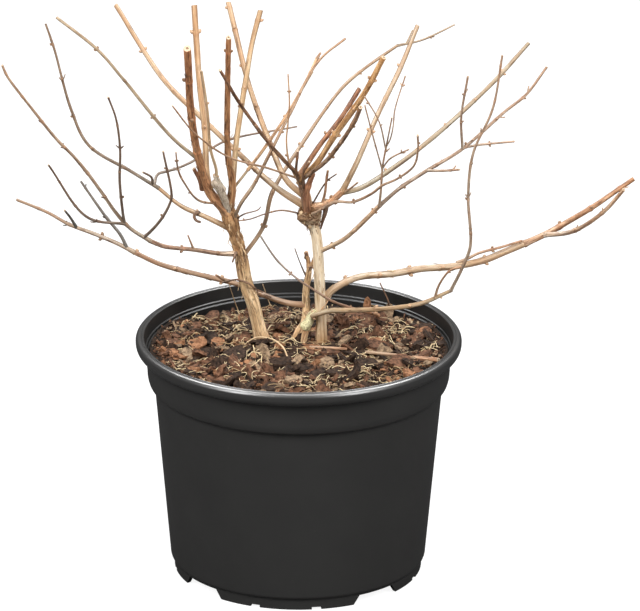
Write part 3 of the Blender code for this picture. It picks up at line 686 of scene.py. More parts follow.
# %% [markdown]
# ## Skin: a grid rolled up round a route
#
# A limb's bark is one sheet. It starts as a flat grid, whose one direction runs along the limb
# and whose other direction runs round it. Every point of the grid is then put on the limb's
# surface, and the two edges that meet are welded. All the relief goes in at the same time:
# fibres and furrows, the swelling at a node, the collar where the limb leaves its parent. Extra
# rows at the end close in on the axis, which gives a cut end with its pith, or a blunt tip.

# %% Smooth noise on points
LATTICE = np.random.default_rng(11).uniform(-1.0, 1.0, 1 << 14)


def smooth_noise(points, seed=0):
    """Values from -1 to 1 that vary smoothly over points given in cells."""
    cells = np.floor(points).astype(np.int64)
    inside = points - cells
    inside = inside * inside * (3.0 - 2.0 * inside)
    total = np.zeros(len(points))
    for corner in itertools.product((0, 1), repeat=3):
        spot = cells + np.array(corner)
        key = spot[:, 0] * 73856093 ^ spot[:, 1] * 19349663 ^ spot[:, 2] * 83492791 ^ (seed + 1) * 2654435
        share = np.prod(np.where(corner, inside, 1.0 - inside), axis=1)
        total += share * LATTICE[key % len(LATTICE)]
    return total


# %% Skins
Skin = namedtuple("Skin", "marks centres radii directions firsts seconds knots stains tone")


def skin_on(route, thick, thin, step):
    """Rings a step apart along a route, turned so that the skin doesn't twist."""
    length = lengths_along(route)[-1]
    marks = np.linspace(0.0, length, max(4, math.ceil(length / step) + 1))
    centres = places_at(route, marks)
    directions = headings(centres)
    first = across(directions[0])[0]
    firsts = []
    for direction in directions:
        first = first - direction * (first @ direction)
        first = first / np.linalg.norm(first)
        firsts.append(first)
    firsts = np.array(firsts)
    radii = np.interp(marks, [0.0, length], [thick / 2, thin / 2])
    seconds = np.cross(directions, firsts)
    plain = np.zeros(len(marks))
    return Skin(marks, centres, radii, directions, firsts, seconds, plain, plain, NO_TINT)


def with_knots(skin, knot_marks, swell, width):
    """The skin with swollen rings, and the mask that colours them."""
    near = np.zeros(len(skin.marks))
    for mark in knot_marks:
        near = np.maximum(near, np.exp(-((skin.marks - mark) / width) ** 2))
    return skin._replace(radii=skin.radii * (1.0 + swell * near), knots=near)


def with_collar(skin, swell, reach):
    """The skin with a thicker foot, where it leaves its parent."""
    return skin._replace(radii=skin.radii * (1.0 + swell * np.exp(-skin.marks / reach)))


def read_rows(elements, name):
    """A vector property of a mesh's elements, one row for each."""
    flat = np.empty(len(elements) * 3)
    elements.foreach_get(name, flat)
    return flat.reshape(-1, 3)


def smooth_all(mesh):
    """Smooth shading on every face."""
    mesh.polygons.foreach_set("use_smooth", np.ones(len(mesh.polygons), dtype=bool))


def clean_faces(work):
    """The bmesh with its doubles merged and its faces pointing outwards."""
    bmesh.ops.remove_doubles(work, verts=work.verts, dist=0.002 * MM)
    bmesh.ops.recalc_face_normals(work, faces=work.faces)


# Rows before the first ring: how wide, and how far on in radii. They round the foot off
FOOT_ROWS = [(0.0, -0.60), (0.55, -0.48), (0.88, -0.24)]
# Rows past the last ring: how wide, how far on in radii, and the material of the band before
CUT_END = [(0.96, 0.03, 0), (0.90, 0.05, 1), (0.40, 0.05, 1), (0.34, -0.14, 2), (0.0, -0.14, 2)]
BLUNT_END = [(0.88, 0.30, 0), (0.55, 0.62, 0), (0.0, 0.78, 0)]
CUT_SLANT = 0.22
# The edge of a knot's colour wanders by this much, in cells of this size in mm
KNOT_WANDER = 1.6
KNOT_CELL = np.array([2.4, 2.4, 5.0])


def rolled(skin, sides, relief=None, end=CUT_END):
    """A closed skin as a mesh in metres, with the attributes that the bark reads."""
    rings = len(skin.marks)
    rows = [*FOOT_ROWS, *[(1.0, 0.0)] * rings, *end]
    bands = len(rows) - 1
    last_ring = len(FOOT_ROWS) + rings - 1
    source = np.array([0] * len(FOOT_ROWS) + [*range(rings), *[rings - 1] * len(end)])
    scale = np.array([row[0] for row in rows])
    shift = np.array([row[1] for row in rows]) * skin.radii[source]
    band_material = np.array([0] * last_ring + [row[2] for row in end])
    work = bmesh.new()
    bmesh.ops.create_grid(work, x_segments=bands, y_segments=sides, size=0.5)
    mesh = bpy.data.meshes.new("rolled")
    work.to_mesh(mesh)
    flat = read_rows(mesh.vertices, "co") + 0.5
    band = np.floor((read_rows(mesh.polygons, "center")[:, 0] + 0.5) * bands).astype(int)
    row = np.rint(flat[:, 0] * bands).astype(int)
    turn = flat[:, 1] * 2 * math.pi
    ring = source[row]
    outward = np.cos(turn)[:, None] * skin.firsts[ring] + np.sin(turn)[:, None] * skin.seconds[ring]
    even = skin.radii.mean()
    grain = np.stack([np.cos(turn) * even, np.sin(turn) * even, skin.marks[ring]], axis=1)
    radii = skin.radii[ring]
    ridge = np.full(len(ring), 0.5)
    if relief is not None:
        offset, ridge = relief(grain, skin, ring)
        radii = radii + offset
    knot = skin.knots[ring]
    wander = KNOT_WANDER * knot * (1.0 - knot) * smooth_noise(grain / KNOT_CELL, 77)
    slant = CUT_SLANT if end is CUT_END else 0.0
    across_cut = np.where(row >= last_ring, slant * radii * scale[row] * np.sin(turn + rings), 0.0)
    places = skin.centres[ring] + skin.directions[ring] * (shift[row] + across_cut)[:, None]
    places = places + outward * (radii * scale[row])[:, None]
    mesh.vertices.foreach_set("co", (places * MM).ravel())
    attributes = {
        "grain": grain * MM,
        "knot": np.clip(knot + wander, 0.0, 1.0),
        "stain": skin.stains[ring],
        "ridge": ridge,
        "reach": skin.marks[ring] / skin.marks[-1],
        "tone": np.tile(skin.tone, (len(ring), 1)),
    }
    for label, value in attributes.items():
        kind, key = ("FLOAT", "value") if value.ndim == 1 else ("FLOAT_VECTOR", "vector")
        mesh.attributes.new(label, kind, "POINT").data.foreach_set(key, value.ravel())
    mesh.polygons.foreach_set("material_index", band_material[band])
    smooth_all(mesh)
    work.clear()
    work.from_mesh(mesh)
    clean_faces(work)
    work.to_mesh(mesh)
    work.free()
    return mesh


# %% Pieces
SHARP_ANGLE = math.radians(42.0)
PIECES = []


def finished(name, mesh, materials, slot, nodes=()):
    """An object of the plant: on its body, in place of its CAD nodes; the slot is not used."""
    mesh.name = name
    made = bpy.data.objects.new(name, mesh)
    bpy.context.scene.collection.objects.link(made)
    for material in materials:
        mesh.materials.append(MATERIALS[material])
    mesh.set_sharp_from_angle(angle=SHARP_ANGLE)
    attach(made, "root")
    if nodes:
        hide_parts(*nodes)
    PIECES.append(made)
    print(name, len(mesh.polygons), "faces")


def merged(meshes):
    """Several meshes as one."""
    work = bmesh.new()
    for mesh in meshes:
        work.from_mesh(mesh)
        bpy.data.meshes.remove(mesh)
    return mesh_of(work, "merged")


# %% [markdown]
# ## Bark relief
#
# Old bark is a bundle of long fibres with furrows between them. Noise that is short round the
# stem and long along it gives both, and broad slow noise makes the wood a little uneven.

# %% Relief rules
def fibrous(depth, fibre_width, fibre_length, lump, seed, burl=0.0):
    """A relief rule for rolled(): fibres and furrows of a depth in mm, slow lumps, burls at knots."""
    def relief(grain, skin, ring):
        fine = grain / np.array([fibre_width, fibre_width, fibre_length])
        fine[:, :2] += 0.5 * smooth_noise(grain / np.array([3.0, 3.0, 9.0]), seed + 4)[:, None]
        fibres = 1.0 - 2.0 * np.abs(smooth_noise(fine, seed))
        threads = smooth_noise(fine * np.array([2.3, 2.3, 1.7]), seed + 1)
        ridge = 0.55 * fibres + 0.45 * threads
        slow = smooth_noise(grain / np.array([4.0, 4.0, 17.0]), seed + 2)
        knobs = smooth_noise(grain / np.array([2.1, 2.1, 3.6]), seed + 3)
        warts = smooth_noise(grain / np.array([0.9, 0.9, 1.6]), seed + 5)
        knobby = burl * skin.knots[ring]
        ridge = ridge + knobby * (0.5 * knobs + 0.4 * warts - 0.3 * ridge)
        offset = depth * ridge + lump * slow + knobby * (0.62 * knobs + 0.24 * warts)
        return offset, np.clip(0.5 + 0.5 * ridge, 0.0, 1.0)
    return relief


# %% Tones
# No two canes are of quite one colour. Each limb's bark is multiplied by its own tone
TONES = {
    "stem_left": (1.12, 1.18, 1.18), "stem_back": (1.45, 1.60, 1.68),
    "cane_dark_upright": (1.18, 1.13, 0.96), "cane_brown_upright": (1.14, 1.13, 0.95),
    "cane_pale_tall": (0.88, 0.91, 0.92), "cane_pale_upright": (0.73, 0.79, 0.77),
    "cane_slim_upright": (1.00, 1.18, 1.30), "cane_olive_left": (0.95, 1.06, 1.18),
    "cane_wiry_left": (1.20, 1.25, 1.30), "cane_leaning_right": (0.97, 1.06, 1.12),
    "cane_slim_leaning": (0.84, 1.05, 1.24), "cane_arching_right": (0.62, 0.68, 0.76),
    "cane_long_left": (0.73, 0.77, 0.79), "cane_pale_crossing": (0.71, 0.72, 0.70),
    "cane_dark_crossing": (1.13, 1.01, 0.89), "cane_wiry_crossing": (1.20, 1.20, 1.20),
    "cane_orange_right": (1.12, 1.22, 1.22), "cane_red_right": (0.62, 0.51, 0.38),
    "cane_dark_right": (1.50, 1.55, 1.50), "cane_pale_far_right": (0.56, 0.69, 0.80),
    "cane_pale_right": (0.64, 0.72, 0.79), "cane_wiry_right": (1.15, 1.25, 1.36),
    "shoot_red": (1.18, 1.12, 1.08), "bough_low_left": (0.60, 0.60, 0.65),
    "bough_right": (1.40, 1.65, 1.80), "bough_long_right": (0.76, 0.86, 0.97),
    "bough_low_right": (0.74, 0.85, 0.91), "bough_upper_left": (0.76, 0.80, 0.82),
    "bough_neck": (1.12, 1.14, 1.17), "bough_shoulder": (2.10, 2.10, 2.00),
    "bough_left": (1.00, 1.30, 1.60), "twigs_low_left": (0.60, 0.67, 0.79),
    "twigs_left": (0.96, 1.08, 1.18), "twigs_upper_left": (0.50, 0.56, 0.60),
    "twigs_arching_right": (0.62, 0.72, 0.84), "twigs_right_upright": (1.15, 1.24, 1.32),
    "twigs_right": (1.00, 1.14, 1.32), "twigs_long_right": (0.75, 0.77, 0.91),
    "twigs_low_right": (0.92, 1.05, 1.18),
}

# %% Stems
FLARE_REACH = 14.0
HEAD_CENTRE = 5.5
HEAD_REACH = 6.5
STEM_STEP = 0.65
STEM_SIDES = 76
FOOT_STEP = 3.0
BURIED = 5.0


def stem_radii(stem, up):
    """The source's taper, root flare and swollen head, at distances up the stem."""
    down = up[-1] - up
    radii = np.interp(up, [0.0, up[-1]], [stem.thick / 2, stem.thin / 2])
    radii = radii * (1.0 + (stem.flare - 1.0) * np.clip(1.0 - up / FLARE_REACH, 0.0, 1.0))
    return radii * (1.0 + (stem.head - 1.0) * np.exp(-((down - HEAD_CENTRE) / HEAD_REACH) ** 2))


STEM_RELIEF = {
    "stem_left": fibrous(0.56, 1.3, 15.0, 0.50, 21, 1.3),
    "stem_right": fibrous(0.26, 1.4, 22.0, 0.30, 31, 2.6),
    "stem_back": fibrous(0.34, 1.3, 9.0, 0.50, 41, 1.0),
}
# Where the rough bark or burl begins and how rough it is, and how far up the foot is stained
STEM_ROUGH = {
    "stem_left": (58.0, 14.0, 0.62), "stem_right": (92.0, 11.0, 1.0), "stem_back": (30.0, 30.0, 0.5),
}
STEM_STAIN = {"stem_left": 5.0, "stem_right": 22.0, "stem_back": 8.0}
SKINS = {}


def add_stem(stem):
    """A stem with its relief, run on into the mix."""
    route = smooth_route([(*stem.foot, MIX_TOP + GAP), *stem.route])
    centres = taper(route, stem.thick, stem.thin)[0]
    centres = np.insert(centres, 1, centres[0] + (0.0, 0.0, FOOT_STEP), axis=0)
    SHAPES[stem.name] = (centres, stem_radii(stem, lengths_along(centres)))
    sunk = np.vstack([[route[0] - BURIED * headings(route)[0]], route])
    skin = skin_on(sunk, stem.thick, stem.thin, STEM_STEP)
    start, ramp, rough = STEM_ROUGH[stem.name]
    skin = skin._replace(
        radii=stem_radii(stem, np.maximum(skin.marks - BURIED, 0.0)),
        knots=rough * np.clip((skin.marks - BURIED - start) / ramp, 0.0, 1.0),
        stains=np.exp(-np.maximum(skin.marks - BURIED, 0.0) / STEM_STAIN[stem.name]))
    SKINS[stem.name] = skin
    skin = skin._replace(tone=TONES.get(stem.name, NO_TINT))
    mesh = rolled(skin, STEM_SIDES, STEM_RELIEF[stem.name], BLUNT_END)
    bark = "stem_cream" if stem.name == "stem_right" else "stem_bark"
    finished("bark_" + stem.name, mesh, [bark, *LIMB_MATERIALS], "stem_bark", [stem.name])


for stem in STEMS:
    add_stem(stem)

# %% [markdown]
# ## Boughs and canes
#
# A deutzia's buds sit in opposite pairs at nodes, and the cane is swollen there. The source has
# the limbs as plain tapers. Here each gets its nodes, a collar at its foot, and light relief.

# %% Limb dressing
LIMB_STEP = 1.1
LIMB_SIDES = 20
THIN_LIMB = 2.0
FIRST_NODE = (14.0, 24.0)
NODE_STEPS = (27.0, 36.0)
NODE_PLAY = (-2.5, 2.5)
STAIN_REACH = 11.0
FINISH_BARK = {finish: "bark_" + finish for finish in ("pale", "orange", "brown", "dark", "twig")}
ROUGHNESS_MM = {"pale": 0.06, "orange": 0.18, "brown": 0.24, "dark": 0.26, "twig": 0.10}
# Nodes that show in the photograph, as shares of the limb's length
LIMB_KNOTS = {
    "cane_dark_upright": (0.38, 0.57, 0.80), "cane_pale_tall": (0.35, 0.85),
    "cane_brown_upright": (0.45, 0.915), "cane_pale_upright": (0.22, 0.55, 0.94),
    "cane_olive_left": (0.32, 0.55, 0.76), "bough_upper_left": (0.465,),
    "bough_low_left": (0.27, 0.50, 0.75, 0.98), "cane_leaning_right": (0.26, 0.51, 0.69, 0.85),
    "cane_slim_leaning": (0.30, 0.635), "cane_arching_right": (0.135, 0.26, 0.466, 0.64, 0.82),
    "cane_long_left": (0.22, 0.43, 0.62, 0.81), "cane_pale_crossing": (0.24, 0.466, 0.68, 0.86, 0.975),
    "cane_dark_crossing": (0.285, 0.47, 0.65), "cane_wiry_crossing": (0.28, 0.55, 0.78),
    "cane_orange_right": (0.38, 0.60, 0.82), "cane_red_right": (0.44,),
    "cane_dark_right": (0.33, 0.55, 0.77), "cane_pale_right": (0.33, 0.53, 0.73),
    "bough_long_right": (0.144, 0.30, 0.443, 0.59, 0.80),
    "cane_pale_far_right": (0.20, 0.36, 0.52, 0.68, 0.84),
}
# Limbs whose foot is swollen: by how much, and how far it reaches in mm
COLLARS = {
    "cane_long_left": (0.7, 14.0), "cane_dark_upright": (0.75, 15.0), "cane_brown_upright": (0.75, 17.0),
    "bough_neck": (0.6, 8.0), "bough_shoulder": (0.5, 8.0), "bough_long_right": (0.35, 10.0),
    "bough_upper_left": (0.8, 9.0), "bough_left": (0.8, 7.0), "cane_pale_crossing": (0.5, 9.0),
    "cane_red_right": (0.5, 7.0), "cane_orange_right": (0.35, 7.0), "cane_dark_right": (0.5, 6.0),
}
PLAIN_COLLAR = (0.25, 4.0)
OWN_BARK = {"shoot_red": "bark_shoot", "cane_olive_left": "bark_olive"}
KNOT_SITES = []


def knot_places(name, length, rng):
    """Distances of the nodes along a limb: measured shares, or even steps with some play."""
    if name in LIMB_KNOTS:
        return [share * length for share in LIMB_KNOTS[name]]
    marks = np.arange(rng.uniform(*FIRST_NODE), length - 4.0, rng.uniform(*NODE_STEPS))
    return [mark + rng.uniform(*NODE_PLAY) for mark in marks]


def add_limb(limb):
    """A bough or cane: the source's taper, run on into its parent."""
    rng = random.Random(limb.name)
    route = limb.route
    if limb.parent:
        route = [place_on(smooth_route(SHAPES[limb.parent][0]), limb.leaves_at), *limb.route]
    whole = smooth_route(route)
    SHAPES[limb.name] = taper(seated(whole, limb.thick / 2), limb.thick, limb.thin)
    skin = skin_on(whole, limb.thick, limb.thin, LIMB_STEP)
    marks = knot_places(limb.name, skin.marks[-1], rng)
    thin_limb = limb.thick < THIN_LIMB
    skin = with_knots(skin, marks, 0.26 if thin_limb else 0.13, 1.0)
    skin = with_collar(skin, *COLLARS.get(limb.name, PLAIN_COLLAR))
    skin = skin._replace(stains=np.exp(-skin.marks / STAIN_REACH), tone=TONES.get(limb.name, NO_TINT))
    SKINS[limb.name] = skin
    KNOT_SITES.append((limb.name, skin, marks))
    rough = ROUGHNESS_MM[limb.finish] * min(1.0, limb.thick / 3.5)
    relief = fibrous(rough, 1.2, 10.0, 0.05 * limb.thick, len(SHAPES))
    mesh = rolled(skin, 10 if thin_limb else LIMB_SIDES, relief)
    bark = OWN_BARK.get(limb.name, FINISH_BARK[limb.finish])
    finished("bark_" + limb.name, mesh, [bark, *LIMB_MATERIALS], SLOT_OF_NODE[limb.name], [limb.name])


for limb in [*BOUGHS, *CANES, SHOOT]:
    add_limb(limb)

# %% [markdown]
# ## Twig masses
#
# Each mass grows by the source's rule: one stem from its bough's tip, the named twigs, and short
# spurs in opposite pairs. Here every twig also gets its bark and nodes, and every spur bends a
# little on its way to the same tip.

# %% Twig rules
SPUR_LENGTHS = (2.0, 4.8)
SPUR_THICK = 1.3
SPUR_LEAN = math.radians(42.0)
SPUR_CHANCE = 0.55
SPUR_SPACE = 6.0
TWIG_STEP = 1.6
TWIG_SIDES = 9
SPUR_SIDES = 6
DRESSED_SPUR = (1.1, 0.7)
MASS_BARK = {
    "twigs_low_left": "bark_pale", "twigs_left": "bark_twig", "twigs_upper_left": "bark_twig",
    "twigs_arching_right": "bark_pale", "twigs_right_upright": "bark_twig", "twigs_right": "bark_twig",
    "twigs_long_right": "bark_orange", "twigs_low_right": "bark_twig",
}
# The side twigs' tint, on top of their mass's own tone: two masses' are darker, three lighter
SIDE_TWIG_TONE = {
    "twigs_low_left": (0.34, 0.41, 0.50), "twigs_left": (0.55, 0.54, 0.57),
    "twigs_upper_left": (1.24, 1.29, 1.43), "twigs_long_right": (1.17, 1.42, 1.72),
    "twigs_right": (1.10, 1.10, 1.10),
}


def spurs_on(shape, rng, own_names, space):
    """Foot and tip of short side shoots, in opposite pairs that turn a quarter from pair to pair."""
    route = smooth_route(shape[0])
    along = lengths_along(route)
    directions = headings(route)
    turn = rng.uniform(0.0, math.pi)
    for distance in np.arange(NODE_SPACING, along[-1] - SPUR_SPACE, NODE_SPACING):
        index = int(np.searchsorted(along, distance))
        heading = directions[index]
        first, second = across(heading)
        for side in (turn, turn + math.pi):
            length = rng.uniform(*SPUR_LENGTHS)
            grows = rng.random() < SPUR_CHANCE
            out = math.cos(side) * first + math.sin(side) * second
            aim = math.cos(SPUR_LEAN) * heading + math.sin(SPUR_LEAN) * out
            tip = route[index] + length * aim
            in_space = np.all(tip > space[0]) and np.all(tip < space[1])
            if grows and in_space and nearest_limb(cut_end(tip, aim, SPUR_THICK), own_names) > GAP:
                yield route[index], tip
        turn += math.pi / 2


def twig_mesh(route, thick, thin, sides, rng, end=CUT_END, tone=NO_TINT):
    """One dressed twig, and the nodes on it."""
    skin = skin_on(route, thick, thin, TWIG_STEP)._replace(tone=tone)
    even = np.arange(NODE_SPACING, skin.marks[-1] - 2.0, NODE_SPACING)
    marks = [mark + rng.uniform(-1.5, 1.5) for mark in even]
    skin = with_collar(with_knots(skin, marks, 0.24, 1.2), 0.25, 3.0)
    KNOT_SITES.append(("twig", skin, marks))
    return rolled(skin, sides, fibrous(0.05, 0.9, 7.0, 0.06, rng.randrange(1000)), end)


def curved(spur, rng):
    """A spur's straight line, bent a little upwards on its way to the same tip."""
    start, tip = spur
    middle = (start + tip) / 2 + np.array([rng.uniform(-0.4, 0.4), rng.uniform(-0.4, 0.4), -0.5])
    return smooth_route([start, middle, tip])


def add_mass(mass):
    """A twig mass as one piece, after the same draws as the source makes."""
    rng = random.Random(mass.seed)
    start = SHAPES[mass.bough][0][-1]
    whole = smooth_route([start, *mass.route])
    route = seated(whole, mass.thick / 2)
    shapes = [taper(route, mass.thick, mass.thin)]
    lines = [(whole, mass.thick, mass.thin)]
    for leaves_at, twig_route in mass.twigs:
        thick = 0.8 * (mass.thick + (mass.thin - mass.thick) * leaves_at)
        twig = smooth_route([place_on(route, leaves_at), *twig_route])
        shapes.append(taper(twig, thick, 0.8 * mass.thin))
        lines.append((twig, thick, 0.8 * mass.thin))
    names = [f"{mass.name}_{number}" for number in range(len(shapes))]
    SHAPES.update(zip(names, shapes))
    centres = np.vstack([centres for centres, radii in shapes])
    space = (centres.min(axis=0) - SPUR_SPACE, centres.max(axis=0) + SPUR_SPACE)
    spurs = [spur for shape in shapes for spur in spurs_on(shape, rng, names, space)]
    tone = TONES.get(mass.name, NO_TINT)
    grey = tuple(np.array(tone) * SIDE_TWIG_TONE.get(mass.name, NO_TINT))
    meshes = []
    for number, (line, thick, thin) in enumerate(lines):
        meshes.append(twig_mesh(line, thick, thin, TWIG_SIDES, rng, CUT_END, grey if number else tone))
    for spur in spurs:
        meshes.append(twig_mesh(curved(spur, rng), *DRESSED_SPUR, SPUR_SIDES, rng, BLUNT_END, grey))
    materials = [MASS_BARK[mass.name], *LIMB_MATERIALS]
    finished(mass.name + "_bark", merged(meshes), materials, "twig_masses", [mass.name])


for mass in MASSES:
    add_mass(mass)

# %% [markdown]
# ## Small twigs and dead stubs
#
# Pruning and frost leave stubs, and a few wiry twigs cross between the stems. They are too small
# for solids of their own. Each starts inside the limb that carries it.

# %% Small twigs
Small = namedtuple("Small", "bark thick thin blunt route")

SMALL_TWIGS = [
    Small("grey_bark", 4.6, 6.4, True, [(-50, 21, 258), (-52, 17, 267), (-55, 13, 276), (-59, 11, 283)]),
    Small("grey_bark", 4.8, 3.4, True, [(-54, 13, 277), (-57, 11, 284), (-59, 10, 289)]),
    Small("bark_pale", 2.4, 2.1, False, [(-36, 16, 291), (-24, 16, 308), (-7, 28, 331), (6, 40, 352),
        (12, 46, 363.7)]),
    Small("bark_twig", 2.4, 1.5, True, [(12, 46, 363), (13, 46.5, 365), (14.4, 47, 367)]),
    Small("bark_dark", 5.0, 1.2, True, [(18.6, 11, 269), (18.4, 15, 260.8), (16.5, 18, 252.2),
        (15.1, 20, 245.5)]),
    Small("bark_brown", 5.2, 3.6, True, [(6, 14, 259), (5.1, 8, 274.6), (6.8, 4, 285), (9.6, 0, 293.9)]),
    Small("bark_dark", 1.7, 1.1, True, [(-44.4, 22, 227), (-46.1, 17, 223.8), (-46.8, 17, 221.5)]),
    Small("bark_twig", 2.6, 1.5, True, [(-51, 45.6, 196), (-54, 43, 198.6), (-56, 42, 200.3),
        (-58.8, 41, 202.6)]),
    Small("bark_brown", 3.4, 2.6, False, [(-68, 15, 277), (-70, 10, 286), (-74, 7, 295)]),
    Small("bark_twig", 1.6, 1.1, True, [(-74, 8, 234), (-76, 4, 241), (-78, 2, 247)]),
    Small("bark_dark", 1.3, 0.7, True, [(-46, 24, 250), (-39, 18, 257), (-29, 8, 264), (-27, 6, 267)]),
    Small("bark_dark", 1.3, 0.8, True, [(6, 19, 256), (-13, 10, 263), (-24, 8, 261), (-34, 14, 255),
        (-44, 23, 250)]),
    Small("bark_pale", 1.5, 0.9, True, [(0, 7, 284), (-7, 0, 302), (-9, -6, 321), (-8, -10, 335),
        (-7, -14, 352), (-8, -18, 374)]),
    Small("bark_dark", 2.4, 1.7, False, [(1, 7, 284), (-2, 2, 294), (-1, -6, 313)]),
    Small("bark_dark", 2.3, 1.5, False, [(3, 8, 281), (3, -2, 296), (7, -8, 306)]),
    Small("bark_pale", 1.5, 1.2, False, [(8, 15, 264), (8, 13, 270), (5, 6, 284)]),
    Small("bark_twig", 2.2, 1.6, False, [(15, 11, 264), (18, 7, 277), (19, 4, 288), (20, 2, 296)]),
    Small("bark_dark", 1.4, 0.9, True, [(8, 14, 264), (19, 6, 286), (26, 0, 294)]),
    Small("bark_twig", 1.6, 1.1, False, [(31, 2, 280), (34, 0, 282), (41, -6, 290)]),
    Small("bark_dark", 1.2, 0.7, True, [(6, 37, 202), (4, 36, 206), (0, 33, 217), (-3, 30, 227)]),
    Small("bark_pale", 1.1, 0.8, True, [(25, 30, 196), (21, 26, 190), (16, 22, 184)]),
    Small("lichen_bark", 6.8, 6.0, True, [(4.5, 25, 170), (7.0, 24, 174), (8.6, 24, 178), (11, 23, 181)]),
    Small("stem_bark", 4.4, 4.8, True, [(2.5, 22, 155), (4.0, 24, 163), (6.5, 25, 171)]),
    Small("stem_bark", 3.0, 2.6, False, [(6, 37, 205), (9.5, 35, 214), (12, 33, 223)]),
    Small("bark_dark", 2.6, 2.4, True, [(5.0, 38, 217), (5.2, 37.5, 219), (5.0, 37, 221)]),
    Small("bark_dark", 1.2, 0.8, True, [(7, 35, 211), (10, 32, 212), (11, 32, 208)]),
    Small("bark_dark", 1.5, 1.1, True, [(-54, 44, 196), (-46, 33, 202), (-42, 22, 206), (-36, 19, 205),
        (-31, 26, 198), (-26, 46, 188)]),
    Small("bark_twig", 1.9, 1.2, True, [(95, -43, 218), (98, -48, 230), (106, -56, 244), (113, -58, 247)]),
    Small("bark_twig", 2.2, 1.7, True, [(112, 59, 206), (120, 61, 208.6), (127, 63, 211.6), (143, 67, 214.8),
        (158, 73, 217.5)]),
    Small("bark_dark", 2.8, 1.7, True, [(-70.6, 27, 254.4), (-73.2, 24, 255.4), (-73.8, 23, 252.6),
        (-72, 22, 250.4), (-69.6, 22, 249.6)]),
]


def add_by_bark(prefix, things, slot_of, dress):
    """Small things, dressed one after the other and joined to one piece for each bark."""
    by_bark = {}
    for thing in things:
        end = BLUNT_END if thing.blunt else CUT_END
        mesh = dress(smooth_route(thing.route), thing.thick, thing.thin, end)
        by_bark.setdefault(thing.bark, []).append(mesh)
    for bark, meshes in by_bark.items():
        finished(prefix + bark, merged(meshes), [bark, *LIMB_MATERIALS], slot_of(bark))


def add_small_twigs():
    """The stubs and the wiry twigs."""
    rng = random.Random(71)
    add_by_bark("small_twigs_", SMALL_TWIGS,
                lambda bark: bark if bark in SLOT_OF_NODE.values() else "stem_bark",
                lambda route, thick, thin, end: twig_mesh(route, thick, thin, 10, rng, end))


add_small_twigs()

# %% [markdown]
# ## Many small things
#
# Buds, bark chips and roots come in hundreds. A handful of templates is modelled, and numpy
# places turned and scaled copies of them in one mesh. That is far quicker than joining objects,
# and the export keeps it, where it would drop instances.

# %% Copies of a template
Template = namedtuple("Template", "corners faces")


def template_of(work):
    """A template's corners and triangles, in the units that it was modelled in."""
    bmesh.ops.recalc_face_normals(work, faces=work.faces)
    bmesh.ops.triangulate(work, faces=work.faces)
    work.verts.index_update()
    corners = np.array([vert.co for vert in work.verts])
    faces = np.array([[vert.index for vert in face.verts] for face in work.faces])
    work.free()
    return Template(corners, faces)


def copies(templates, rows):
    """One mesh of many copies. A row is a template's number, a turn and scale as a 3x3, and a place."""
    picks, frames, places = (np.array(column) for column in zip(*rows))
    corner_sets = []
    face_sets = []
    start = 0
    for number, template in enumerate(templates):
        chosen = np.flatnonzero(picks == number)
        if len(chosen) == 0:
            continue
        spots = np.einsum("nij,vj->nvi", frames[chosen], template.corners) + places[chosen][:, None]
        corner_sets.append(spots.reshape(-1, 3))
        firsts = start + np.arange(len(chosen)) * len(template.corners)
        face_sets.append((template.faces[None] + firsts[:, None, None]).reshape(-1, 3))
        start += len(chosen) * len(template.corners)
    mesh = bpy.data.meshes.new("copies")
    mesh.from_pydata(np.vstack(corner_sets) * MM, [], np.vstack(face_sets))
    smooth_all(mesh)
    return mesh


def basis(along, side):
    """A turn whose Z is along and whose X is as near side as can be."""
    z = along / np.linalg.norm(along)
    x = side - z * (side @ z)
    x = x / np.linalg.norm(x)
    return np.stack([x, np.cross(z, x), z], axis=1)


def moulded(work, rule):
    """A template from a bmesh, each of its points moved by a rule."""
    for vert in work.verts:
        vert.co = rule(*vert.co)
    return template_of(work)


# %% Buds
BUD_CHANCE = 0.85
TWIG_BUD_CHANCE = 0.35
BUD_LEAN = math.radians(34.0)
BUD_LENGTHS = (1.9, 2.9)
BUD_SEAT = 0.72
BUD_WIDTH = 0.46
FACING = np.array(towards_camera)


def bud_template():
    """A pointed bud 1 long and about 0.8 across, its foot at the origin."""
    def pointed(x, y, z):
        height = z + 0.5
        width = BUD_WIDTH * (1.0 - 0.55 * height ** 2)
        return x * 2 * width, y * 2 * width, height

    work = bmesh.new()
    bmesh.ops.create_uvsphere(work, u_segments=7, v_segments=6, radius=0.5)
    return moulded(work, pointed)


def add_buds():
    """Opposite pairs of buds at the nodes, one joined piece for the pale and one for the dark."""
    rng = random.Random(83)
    rows = {"tan": [], "brown": []}
    dark_names = {limb.name for limb in [*BOUGHS, *CANES, SHOOT] if limb.finish in ("brown", "dark", "twig")}
    for name, skin, marks in KNOT_SITES:
        kind = "brown" if name in dark_names or name == "twig" else "tan"
        chance = TWIG_BUD_CHANCE if name == "twig" else BUD_CHANCE
        for number, mark in enumerate(reversed(marks)):
            ring = int(np.argmin(np.abs(skin.marks - mark)))
            heading = skin.directions[ring]
            sideways = np.cross(heading, FACING)
            sideways = sideways / np.linalg.norm(sideways)
            if number % 2:
                sideways = np.cross(heading, sideways)
            for out in (sideways, -sideways):
                size = rng.uniform(*BUD_LENGTHS) * min(1.35, 0.55 + 0.28 * skin.radii[ring])
                if rng.random() > chance:
                    continue
                lean = BUD_LEAN * rng.uniform(0.7, 1.5)
                aim = math.cos(lean) * heading + math.sin(lean) * out
                place = skin.centres[ring] + out * skin.radii[ring] * BUD_SEAT
                rows[kind].append((0, basis(aim, out) * size, place))
    for kind, slot in (("tan", "bark_pale"), ("brown", "bark_brown")):
        finished("buds_" + kind, copies([bud_template()], rows[kind]), ["bud_" + kind], slot)


